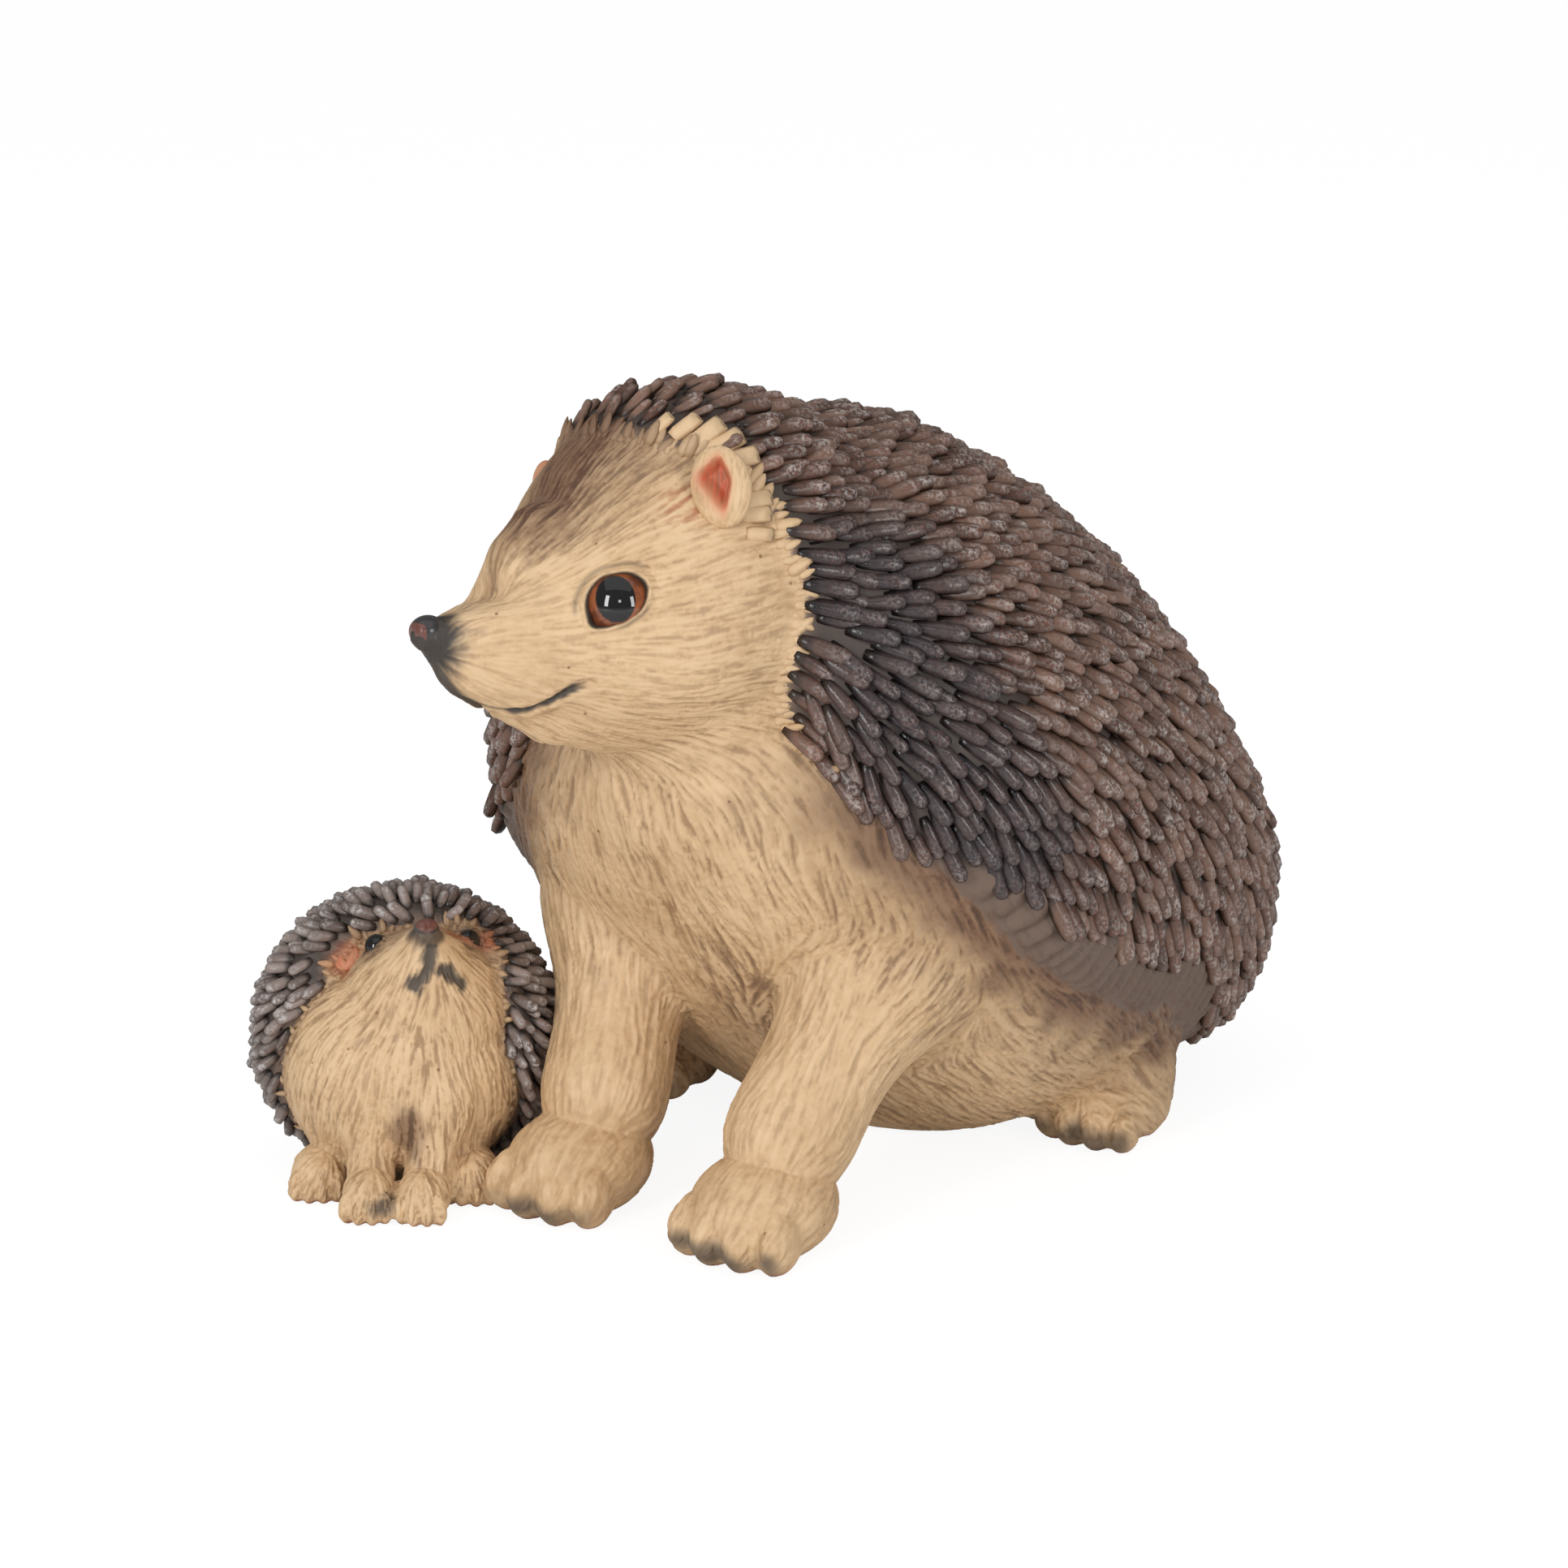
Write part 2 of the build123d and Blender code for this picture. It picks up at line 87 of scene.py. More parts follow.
class Seed(IntEnum):
    """Where each random draw starts."""

    SWIRL = 5
    CLOUD = 7
    SKIRT = 9
    STROKES = 11
    QUILLS = 21
    LOCKS = 31
    EARS = 41
    YOUNG_STROKES = 51
    YOUNG_SWIRL = 55
    YOUNG_CLOUD = 57
    YOUNG_QUILLS = 61
    YOUNG_LOCKS = 71


# Points, boxes and small sums


def unit(vector: Sequence[float]) -> Array:
    """The direction of a vector."""
    vector = np.asarray(vector, float)
    return vector / np.linalg.norm(vector)


def unit_rows(vectors: Array) -> Array:
    """The direction of each row."""
    return vectors / np.maximum(np.linalg.norm(vectors, axis=1, keepdims=True), 1e-9)


def tangent(vectors: Array, normals: Array) -> Array:
    """Each vector laid into the surface with that normal, as a direction."""
    along = vectors - normals * np.sum(vectors * normals, axis=1, keepdims=True)
    return unit_rows(along)


def lengths(rows: Array) -> Array:
    """The length of each row."""
    return np.linalg.norm(rows, axis=1)


def to_left(own: Array) -> Array:
    """Points of a head's axes, those on its right moved over to its left."""
    moved = own.copy()
    moved[:, 0] = np.abs(moved[:, 0])
    return moved


def bell(value: Array, width: float) -> Array:
    """A smooth bump: 1 where a value is zero, and about a third at the width."""
    return np.exp(-((value / width) ** 2))


def ramp(low: float, high: float, value: Array) -> Array:
    """A smooth rise from 0 at low to 1 at high; high may lie below low."""
    share = np.clip((value - low) / (high - low), 0.0, 1.0)
    return share * share * (3 - 2 * share)


def box_of(node: str) -> tuple[Array, Array]:
    """The lowest and highest corner of a node, in millimetres."""
    low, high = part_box(node)
    return np.array(low) / MM, np.array(high) / MM


def middle_of(node: str) -> Array:
    """The middle of a node's box, in millimetres."""
    low, high = box_of(node)
    return (low + high) / 2


def to_segment(points: Array, start: Array, end: Array) -> Array:
    """The distance of each point from a straight line between two points."""
    line = end - start
    share = np.clip((points - start) @ line / (line @ line), 0.0, 1.0)
    return lengths(points - start - share[:, None] * line)


def rounded_path(corners: Sequence[Sequence[float]], count: int = 60) -> Array:
    """Points spread evenly along a rounded line through the corners."""
    corners = np.asarray(corners, float)
    steps = np.concatenate(([0], np.cumsum(lengths(np.diff(corners, axis=0)))))
    spots = np.linspace(0, steps[-1], count)
    line = np.stack([np.interp(spots, steps, column) for column in corners.T], axis=1)
    for _ in range(5):
        line[1:-1] = (line[:-2] + 2 * line[1:-1] + line[2:]) / 4
    return line


def snapped(path: Array, points: Array) -> Array:
    """A line's points moved onto the nearest of a surface's points, evened out and set closer."""
    line = np.array([points[np.argmin(np.sum((points - spot) ** 2, axis=1))] for spot in path])
    for _ in range(3):
        line[1:-1] = (line[:-2] + 2 * line[1:-1] + line[2:]) / 4
    steps = np.linspace(0, len(line) - 1, 4 * len(line))
    return np.stack([np.interp(steps, np.arange(len(line)), column) for column in line.T], axis=1)


def beside_path(points: Array, path: Array, reach: float) -> tuple[Array, Array]:
    """How far each point lies from a line, and where along it.

    Args:
        points: The points.
        path: Points close together along the line.
        reach: The furthest distance that matters.

    Returns:
        The distances, none over the reach, and the shares of the line's length.
    """
    distance, share = np.full(len(points), float(reach)), np.zeros(len(points))
    near = np.flatnonzero(np.all((points > path.min(0) - reach) & (points < path.max(0) + reach), axis=1))
    for chunk in np.array_split(near, len(near) // 20000 + 1):
        gaps = np.linalg.norm(points[chunk, None] - path[None], axis=2)
        best = gaps.argmin(axis=1)
        distance[chunk] = np.minimum(gaps[np.arange(len(chunk)), best], reach)
        share[chunk] = best / (len(path) - 1)
    return distance, share


@dataclass(frozen=True)
class HeadPlace:
    """A head's own axes: x to its left, -y ahead and z up.

    Attributes:
        origin: The head's middle in the row frame.
        axes: The three directions, one per column.
    """

    origin: Array
    axes: Array

    def inside(self, points: Array) -> Array:
        """Points of the row frame in the head's own axes."""
        return (points - self.origin) @ self.axes

    def outside(self, points: Array) -> Array:
        """Points of the head's own axes in the row frame."""
        return np.asarray(points, float) @ self.axes.T + self.origin

    def turn(self, directions: Array) -> Array:
        """Directions of the head's own axes in the row frame."""
        return np.asarray(directions, float) @ self.axes.T

    @classmethod
    def from_nodes(cls, who: str, eye: Sequence[float], nose: Sequence[float]) -> "HeadPlace":
        """Finds the head from where its eyes and nose lie.

        Args:
            who: The first word of the nodes' names.
            eye: How far ahead of and above the head's middle the eyes are.
            nose: The same for the nose.

        Returns:
            The head's place.
        """
        left, right = middle_of(f"{who}_left_eye"), middle_of(f"{who}_right_eye")
        tip = middle_of(f"{who}_nose")
        between = (left + right) / 2

        def basis(across: Array, ahead: Array) -> Array:
            """Square axes with the first along a direction, one per column."""
            across = unit(across)
            ahead = unit(ahead - across * (across @ ahead))
            return np.stack([across, ahead, np.cross(across, ahead)], axis=1)

        own = basis(np.array([1.0, 0, 0]), np.array([0, eye[0] - nose[0], nose[1] - eye[1]]))
        axes = basis(left - right, tip - between) @ own.T
        return cls(between - axes @ np.array([0, -eye[0], eye[1]]), axes)


class Lattice:
    """Smooth random values on a repeating lattice, for carved strokes and mottling."""

    SIZE = 128

    def __init__(self, seed: int) -> None:
        """Draws the lattice's values from one seed."""
        self.values = np.random.default_rng(seed).random(self.SIZE**3, dtype=np.float32)

    def at(self, points: Array, cell: float) -> Array:
        """The value at each point, from 0 to 1.

        Args:
            points: Points in millimetres.
            cell: The lattice's step.

        Returns:
            One value per point.
        """
        spot = points / cell
        base = np.floor(spot).astype(np.int32)
        part = (spot - base).astype(np.float32)
        part = part * part * (3 - 2 * part)
        wrap = self.SIZE - 1
        total = np.zeros(len(points), np.float32)
        for step_x in (0, 1):
            weight_x = part[:, 0] if step_x else 1 - part[:, 0]
            index_x = ((base[:, 0] + step_x) & wrap) * self.SIZE**2
            for step_y in (0, 1):
                weight_y = weight_x * (part[:, 1] if step_y else 1 - part[:, 1])
                index_y = index_x + ((base[:, 1] + step_y) & wrap) * self.SIZE
                for step_z in (0, 1):
                    weight = weight_y * (part[:, 2] if step_z else 1 - part[:, 2])
                    total += weight * self.values[index_y + ((base[:, 2] + step_z) & wrap)]
        return total

    def swirl(self, points: Array, cell: float, apart: float) -> Array:
        """A small random direction at each point, to make strokes waver.

        Args:
            points: Points in millimetres.
            cell: The lattice's step.
            apart: How far away the next axis is read.

        Returns:
            One direction per point.
        """
        return np.stack([self.at(points + axis * apart, cell) for axis in range(3)], axis=1) - 0.5

    def streaks(self, points: Array, flow: Array, cell: float, reach: float) -> Array:
        """Random values drawn out along a direction, as strokes of a carving tool are.

        Args:
            points: Points in millimetres.
            flow: The strokes' direction at each point.
            cell: The width of a stroke.
            reach: How far a stroke is drawn out each way.

        Returns:
            One value per point, with a mean of 0 and a spread of 1.
        """
        samples = 2 * math.ceil(reach / cell) + 1
        total = np.zeros(len(points), np.float32)
        for step in np.linspace(-reach, reach, samples):
            total += self.at(points + flow * step, cell)
        return (total - total.mean()) / total.std()


# Meshes


def read(source: bpy.types.bpy_prop_collection, key: str, width: int, kind: type = float) -> Array:
    """Reads one field of all points, edges or faces.

    Args:
        source: The points, edges or faces.
        key: The field's name.
        width: How many numbers it has.
        kind: Whether they are whole numbers or not.

    Returns:
        One number for each, or one row if the field has several.
    """
    flat = np.empty(len(source) * width, np.int32 if kind is int else np.float32)
    source.foreach_get(key, flat)
    rows = flat if kind is int else flat.astype(float)
    return rows if width == 1 else rows.reshape(-1, width)


def points_of(mesh: Mesh) -> Array:
    """A mesh's points as rows."""
    return read(mesh.vertices, "co", 3)


def set_points(mesh: Mesh, points: Array) -> None:
    """Moves a mesh's points."""
    mesh.vertices.foreach_set("co", points.astype(np.float32).ravel())
    mesh.update()


def normals_of(mesh: Mesh) -> Array:
    """A mesh's smooth normals as rows, one per point."""
    return read(mesh.vertex_normals, "vector", 3)


def pairs_of(mesh: Mesh) -> Array:
    """The two point numbers of each edge."""
    return read(mesh.edges, "vertices", 2, int)


def face_middles(mesh: Mesh) -> Array:
    """The middle of each face."""
    return read(mesh.polygons, "center", 3)


def face_means(mesh: Mesh, values: Array) -> Array:
    """The mean over each face of a value held at the points."""
    corners = read(mesh.loops, "vertex_index", 1, int)
    sizes = read(mesh.polygons, "loop_total", 1, int)
    starts = np.concatenate(([0], np.cumsum(sizes)[:-1]))
    return np.add.reduceat(values[corners], starts) / sizes


def set_values(mesh: Mesh, name: str, values: Array) -> None:
    """Stores a number or a vector or a colour per point as a named attribute."""
    kinds = {1: ("FLOAT", "value"), 3: ("FLOAT_VECTOR", "vector"), 4: ("FLOAT_COLOR", "color")}
    kind, key = kinds[1 if values.ndim == 1 else values.shape[1]]
    attribute = mesh.attributes.get(name) or mesh.attributes.new(name, kind, "POINT")
    attribute.data.foreach_set(key, values.astype(np.float32).ravel())


def values_of(mesh: Mesh, name: str, width: int = 1) -> Array:
    """Reads a named attribute back: a number, a vector or a colour per point."""
    return read(mesh.attributes[name].data, {1: "value", 3: "vector", 4: "color"}[width], width)


def set_masks(mesh: Mesh, name: str, *masks: Array | float) -> None:
    """Stores three masks per point as a colour attribute, which a paint reads."""
    ones = np.ones(len(mesh.vertices))
    set_values(mesh, name, np.stack([ones * mask for mask in masks] + [ones], axis=1))


def shade_locks(locks: Mesh, top: Array, wash: float) -> None:
    """Marks the low sides of joined locks as grooves, which the paint darkens as painted shade, and their
    tops as ridges.

    Args:
        locks: The joined locks.
        top: How raised each point of one lock is.
        wash: How much brown paint the low sides get, as painted shade.
    """
    top = np.tile(top, len(locks.vertices) // len(top))
    # Painted shade: the low side of each lock takes the brown wash.
    set_masks(locks, "carve", wash * (1 - top), top, 0.0)


def relax(
    points: Array,
    pairs: Array,
    rounds: int,
    pull: float = 0.5,
    spring: float = 0.0,
    mask: Array | None = None,
) -> Array:
    """Evens a surface out by drawing each point towards its neighbours.

    Args:
        points: The points, or any values held at them.
        pairs: The two point numbers of each edge.
        rounds: How many times to do it.
        pull: The share of the way that a point goes.
        spring: The share that it goes back, which keeps the form from shrinking.
        mask: How much of each move a point makes.

    Returns:
        The points after it.
    """
    count = len(points)
    first, second = pairs[:, 0], pairs[:, 1]
    friends = np.maximum(np.bincount(pairs.ravel(), minlength=count), 1)[:, None]
    weight = np.ones((count, 1)) if mask is None else mask[:, None]
    flat = points.ndim == 1
    points = points[:, None] if flat else points
    for _ in range(rounds):
        for share in (pull, -spring):
            if share == 0:
                continue
            total = np.stack(
                [
                    np.bincount(first, column[second], count) + np.bincount(second, column[first], count)
                    for column in points.T
                ],
                axis=1,
            )
            points = points + share * weight * (total / friends - points)
    return points[:, 0] if flat else points


def new_object(name: str, data: bpy.types.ID) -> Object:
    """Puts a mesh, a lamp or a camera into the scene."""
    thing = bpy.data.objects.new(name, data)
    bpy.context.scene.collection.objects.link(thing)
    return thing


def mesh_from(shape: bmesh.types.BMesh, name: str) -> Mesh:
    """Turns a finished bmesh into a mesh with smooth faces."""
    for face in shape.faces:
        face.smooth = True
    mesh = bpy.data.meshes.new(name)
    shape.to_mesh(mesh)
    shape.free()
    return mesh


def copies_of(nodes: Sequence[str]) -> bmesh.types.BMesh:
    """Copies of several nodes' meshes in one, in metres."""
    heap = bmesh.new()
    for node in nodes:
        heap.from_mesh(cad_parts[node].data)
    return heap


def casting(nodes: Sequence[str], grain: float) -> Mesh:
    """One closed skin over several nodes, evenly meshed.

    Args:
        nodes: The nodes that the skin covers.
        grain: The size of its faces in millimetres.

    Returns:
        The skin's mesh in millimetres.
    """
    heap = copies_of(nodes)
    bmesh.ops.remove_doubles(heap, verts=heap.verts, dist=1e-6)
    bmesh.ops.scale(heap, vec=(1 / MM, 1 / MM, 1 / MM), verts=heap.verts)
    rough = new_object("rough_casting", mesh_from(heap, "rough_casting"))
    remesh = rough.modifiers.new("skin", "REMESH")
    remesh.mode = "VOXEL"
    remesh.voxel_size = grain
    graph = bpy.context.evaluated_depsgraph_get()
    skin = bpy.data.meshes.new_from_object(rough.evaluated_get(graph))
    bpy.data.objects.remove(rough)
    return largest_shell(skin)


def largest_shell(mesh: Mesh) -> Mesh:
    """Keeps the outer shell of a mesh, without the walls of its sealed hollows."""
    thing = new_object("shells", mesh)
    bpy.ops.object.select_all(action="DESELECT")
    bpy.context.view_layer.objects.active = thing
    thing.select_set(True)
    bpy.ops.object.mode_set(mode="EDIT")
    bpy.ops.mesh.select_all(action="SELECT")
    bpy.ops.mesh.separate(type="LOOSE")
    bpy.ops.object.mode_set(mode="OBJECT")
    shells = sorted(bpy.context.selected_objects, key=lambda one: len(one.data.vertices))
    outer = shells[-1].data
    for shell in shells:
        bpy.data.objects.remove(shell)
    return outer


def refine(mesh: Mesh, wanted: Array) -> None:
    """Halves the edges of the wanted faces.

    Args:
        mesh: The mesh to change.
        wanted: One truth value per face.
    """
    shape = bmesh.new()
    shape.from_mesh(mesh)
    for face, pick in zip(shape.faces, wanted.tolist()):
        face.tag = pick
    edges = [edge for edge in shape.edges if any(face.tag for face in edge.link_faces)]
    bmesh.ops.subdivide_edges(shape, edges=edges, cuts=1, use_grid_fill=True)
    shape.to_mesh(mesh)
    shape.free()
    mesh.update()


def halve(mesh: Mesh, spot: Sequence[float], way: Sequence[float]) -> tuple[Mesh, Mesh]:
    """Cuts a closed mesh in two closed ones.

    Args:
        mesh: The mesh to cut.
        spot: A point of the cut.
        way: The direction across the cut.

    Returns:
        The part that lies in that direction, and the other.
    """
    parts = []
    for sign in (1, -1):
        shape = bmesh.new()
        shape.from_mesh(mesh)
        outward = -sign * Vector(way)
        cut = bmesh.ops.bisect_plane(
            shape, geom=shape.verts[:] + shape.edges[:] + shape.faces[:], dist=1e-5,
            plane_co=Vector(spot), plane_no=outward, clear_outer=True,
        )["geom_cut"]
        rim = [part for part in cut if isinstance(part, bmesh.types.BMEdge)]
        cap = bmesh.ops.triangle_fill(shape, use_beauty=True, edges=rim, normal=outward)["geom"]
        for part in cap:
            if isinstance(part, bmesh.types.BMFace) and part.normal.dot(outward) < 0:
                part.normal_flip()
        half = bpy.data.meshes.new(mesh.name)
        shape.to_mesh(half)
        shape.free()
        parts.append(half)
    return parts[0], parts[1]


def settle(
    thing: Object, material: Material, nodes: Sequence[str] = ()
) -> Object:
    """Gives a finished piece its material and its body, and hides the nodes that it stands for.

    Args:
        thing: The piece.
        material: Its material.
        nodes: The nodes that it stands for.

    Returns:
        The piece.
    """
    thing.data.materials.clear()
    thing.data.materials.append(material)
    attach(thing, "root")
    if nodes:
        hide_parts(*nodes)
    triangles = sum(face.loop_total - 2 for face in thing.data.polygons)
    LOG.info("%s: %d triangles", thing.name, triangles)
    return thing


# Shader nodes


def srgb(red: int, green: int, blue: int) -> tuple[float, float, float, float]:
    """A colour written as it is read on a screen, as the shaders want it."""

    def linear(level: int) -> float:
        """A level without the screen's curve."""
        share = level / 255
        return share / 12.92 if share <= 0.04045 else ((share + 0.055) / 1.055) ** 2.4

    return (linear(red), linear(green), linear(blue), 1.0)


class Graph:
    """Adds nodes to a node tree and joins them."""

    def __init__(self, tree: NodeTree) -> None:
        """Starts writing into a tree."""
        self.tree = tree

    def add(self, kind: str, **settings: object) -> Node:
        """Adds a node and sets its fields."""
        node = self.tree.nodes.new(kind)
        for name, value in settings.items():
            setattr(node, name, value)
        return node

    def join(self, socket: NodeSocket, value: object) -> None:
        """Feeds a socket from another socket, or sets its value."""
        if isinstance(value, NodeSocket):
            self.tree.links.new(value, socket)
        else:
            socket.default_value = value

    def math(self, operation: str, first: object, second: object = 0.0, clamp: bool = False) -> NodeSocket:
        """One sum of two numbers."""
        node = self.add("ShaderNodeMath", operation=operation, use_clamp=clamp)
        self.join(node.inputs[0], first)
        self.join(node.inputs[1], second)
        return node.outputs[0]

    def times(self, first: object, second: object, clamp: bool = False) -> NodeSocket:
        """Two numbers multiplied."""
        return self.math("MULTIPLY", first, second, clamp)

    def mix(self, share: object, first: object, second: object, blend: str = "MIX") -> NodeSocket:
        """A mix of two colours."""
        node = self.add("ShaderNodeMix", data_type="RGBA", blend_type=blend)
        self.join(node.inputs["Factor"], share)
        self.join(node.inputs[6], first)
        self.join(node.inputs[7], second)
        return node.outputs[2]

    def noise(self, place: object, scale: float, detail: float = 2.0, roughness: float = 0.5) -> NodeSocket:
        """Cloudy noise over the surface, from 0 to 1."""
        node = self.add("ShaderNodeTexNoise")
        self.join(node.inputs["Vector"], place)
        node.inputs["Scale"].default_value = scale
        node.inputs["Detail"].default_value = detail
        node.inputs["Roughness"].default_value = roughness
        return node.outputs["Fac"]

    def span(
        self, value: object, low: float, high: float, bottom: float = 0.0, top: float = 1.0
    ) -> NodeSocket:
        """Stretches a range of values to another, with smooth ends."""
        node = self.add("ShaderNodeMapRange", interpolation_type="SMOOTHSTEP")
        for socket, number in zip(node.inputs[1:5], (low, high, bottom, top)):
            socket.default_value = number
        self.join(node.inputs[0], value)
        return node.outputs[0]

    def place(self) -> NodeSocket:
        """The surface's own coordinates."""
        return self.add("ShaderNodeTexCoord").outputs["Object"]

    def attribute(self, name: str) -> list[NodeSocket]:
        """The three channels of a colour attribute."""
        source = self.add("ShaderNodeAttribute", attribute_type="GEOMETRY", attribute_name=name)
        parts = self.add("ShaderNodeSeparateColor")
        self.join(parts.inputs[0], source.outputs["Color"])
        return list(parts.outputs)

    def group(self, tree: NodeTree, **inputs: object) -> Node:
        """Places a node group and feeds its inputs, whose spaces are written as underlines."""
        node = self.add("ShaderNodeGroup", node_tree=tree)
        for name, value in inputs.items():
            self.join(node.inputs[name.replace("_", " ")], value)
        return node


def new_group(
    name: str, inputs: dict[str, str], outputs: dict[str, str]
) -> tuple[NodeTree, Graph, dict, dict]:
    """Starts a node group.

    Args:
        name: Its name.
        inputs: Each input's name and kind.
        outputs: Each output's name and kind.

    Returns:
        The group, its writer, its inputs' sockets and its outputs' sockets.
    """
    tree = bpy.data.node_groups.new(name, "ShaderNodeTree")
    for names, way in ((inputs, "INPUT"), (outputs, "OUTPUT")):
        for label, kind in names.items():
            tree.interface.new_socket(label, in_out=way, socket_type=f"NodeSocket{kind}")
    graph = Graph(tree)
    start = graph.add("NodeGroupInput")
    end = graph.add("NodeGroupOutput")
    return tree, graph, {s.name: s for s in start.outputs}, {s.name: s for s in end.inputs}


def mottle_group() -> NodeTree:
    """Uneven hand-laid paint: a colour that drifts between two tones over the surface."""
    tree, graph, given, made = new_group(
        "hand_mottle", {"Place": "Vector", "Light": "Color", "Deep": "Color"}, {"Color": "Color"}
    )
    broad = graph.span(graph.noise(given["Place"], 38.0, 3.0), 0.35, 0.65)
    fine = graph.span(graph.noise(given["Place"], 420.0, 2.0), 0.3, 0.7)
    share = graph.math("ADD", graph.times(broad, 0.65), graph.times(fine, 0.35))
    graph.join(made["Color"], graph.mix(share, given["Light"], given["Deep"]))
    return tree


def wash_group() -> NodeTree:
    """Thin brown paint wiped into the grooves, with specks where it caught in small pits; on the locks the
    grooves are their low sides, and there it is painted shade.
    """
    tree, graph, given, made = new_group(
        "antique_wash",
        {"Place": "Vector", "Color": "Color", "Groove": "Float", "Wash": "Color", "Strength": "Float",
         "Specks": "Float"},
        {"Color": "Color", "Height": "Float"},
    )
    patchy = graph.span(graph.noise(given["Place"], 60.0, 2.0), 0.3, 0.7, 0.45, 1.0)
    share = graph.times(graph.times(given["Groove"], given["Strength"]), patchy)
    washed = graph.mix(share, given["Color"], given["Wash"])
    cells = graph.add("ShaderNodeTexVoronoi")
    graph.join(cells.inputs["Vector"], given["Place"])
    cells.inputs["Scale"].default_value = 210.0
    pit = graph.span(cells.outputs["Distance"], 0.11, 0.05)
    chosen = graph.add("ShaderNodeSeparateColor")
    graph.join(chosen.inputs[0], cells.outputs["Color"])
    rare = graph.math("GREATER_THAN", chosen.outputs[0], 0.86)
    speck = graph.times(graph.times(pit, rare), given["Specks"])
    graph.join(made["Color"], graph.mix(speck, washed, given["Wash"]))
    grain = graph.noise(given["Place"], 1900.0, 2.0)
    graph.join(made["Height"], graph.math("SUBTRACT", grain, graph.times(speck, 3.0)))
    return tree


def brush_group() -> NodeTree:
    """Pale paint dragged over raised forms with a dry brush, broken up by its bristles."""
    tree, graph, given, made = new_group(
        "dry_brush",
        {"Place": "Vector", "Color": "Color", "Paint": "Color", "Raised": "Float", "Strength": "Float"},
        {"Color": "Color", "Roughness": "Float"},
    )
    broken = graph.span(graph.noise(given["Place"], 1100.0, 3.0, 0.65), 0.42, 0.62)
    patchy = graph.span(graph.noise(given["Place"], 90.0, 2.0), 0.35, 0.7, 0.35, 1.0)
    share = graph.times(graph.times(given["Raised"], broken), patchy)
    share = graph.times(share, given["Strength"], clamp=True)
    graph.join(made["Color"], graph.mix(share, given["Color"], given["Paint"]))
    graph.join(made["Roughness"], graph.math("ADD", graph.times(share, 0.2), 0.34))
    return tree


class PaintShop:
    """Holds the shared node groups and makes each finish once."""

    def __init__(self) -> None:
        """Builds the shared groups."""
        self.mottle = mottle_group()
        self.wash = wash_group()
        self.brush = brush_group()

    def start(self, name: str) -> tuple[Material, Graph, Node]:
        """Starts a material with its shader.

        Args:
            name: The material's name.

        Returns:
            The material, its writer and its shader.
        """
        material = bpy.data.materials.new(name)
        material.use_nodes = True
        graph = Graph(material.node_tree)
        return material, graph, material.node_tree.nodes["Principled BSDF"]

    @staticmethod
    def bump(graph: Graph, shader: Node, height: NodeSocket, depth: float) -> None:
        """Adds a fine relief to a shader.

        Args:
            graph: The material's writer.
            shader: Its shader.
            height: The relief, from 0 to 1.
            depth: How deep it is, in millimetres.
        """
        node = graph.add("ShaderNodeBump")
        node.inputs["Strength"].default_value = 1.0
        node.inputs["Distance"].default_value = depth * MM
        graph.join(node.inputs["Height"], height)
        graph.join(shader.inputs["Normal"], node.outputs["Normal"])


@dataclass(frozen=True)
class CreamPaint:
    """Cream fur paint with airbrushed brown, black and red places, a brown wash and painted shade.

    The attribute tint holds brown, black and red, part of the black being painted shade; the attribute carve
    holds the grooves, the ridges and the grey of the skirt.
    The grooves of the brown and grey places are darkened as painted shade.
    """

    name: str = "cream_fur_paint"
    light: Tone = (220, 187, 146)
    deep: Tone = (203, 168, 126)
    raised: Tone = (232, 204, 166)
    brown: Tone = (112, 79, 58)
    black: Tone = (48, 45, 44)
    red: Tone = (178, 98, 66)
    wash: Tone = (126, 87, 51)
    skirt: Tone = (112, 92, 79)
    wash_strength: float = 0.62
    specks: float = 0.75
    roughness: float = 0.5

    def make(self, shop: PaintShop) -> Material:
        """Makes the material."""
        material, graph, shader = shop.start(self.name)
        place = graph.place()
        brown, black, red = graph.attribute("tint")[:3]
        groove, ridge, grey = graph.attribute("carve")[:3]
        base = graph.group(shop.mottle, Place=place, Light=srgb(*self.light), Deep=srgb(*self.deep))
        color = graph.mix(graph.times(ridge, 0.3), base.outputs[0], srgb(*self.raised))
        washed = graph.group(
            shop.wash, Place=place, Color=color, Groove=groove, Wash=srgb(*self.wash),
            Strength=self.wash_strength, Specks=self.specks,
        )
        color = graph.mix(brown, washed.outputs["Color"], srgb(*self.brown))
        color = graph.mix(grey, color, srgb(*self.skirt))
        color = graph.mix(red, color, srgb(*self.red))
        color = graph.mix(black, color, srgb(*self.black))
        # Painted shade: the grooves of the brown and grey places are darkened towards black.
        dark = graph.mix(0.5, color, (0.0, 0.0, 0.0, 1.0))
        color = graph.mix(graph.times(groove, graph.math("ADD", brown, grey, clamp=True)), color, dark)
        graph.join(shader.inputs["Base Color"], color)
        dull, duller = self.roughness - 0.06, self.roughness + 0.08
        rough = graph.span(graph.noise(place, 260.0, 2.0), 0.3, 0.7, dull, duller)
        graph.join(shader.inputs["Roughness"], rough)
        shop.bump(graph, shader, washed.outputs["Height"], 0.05)
        return material


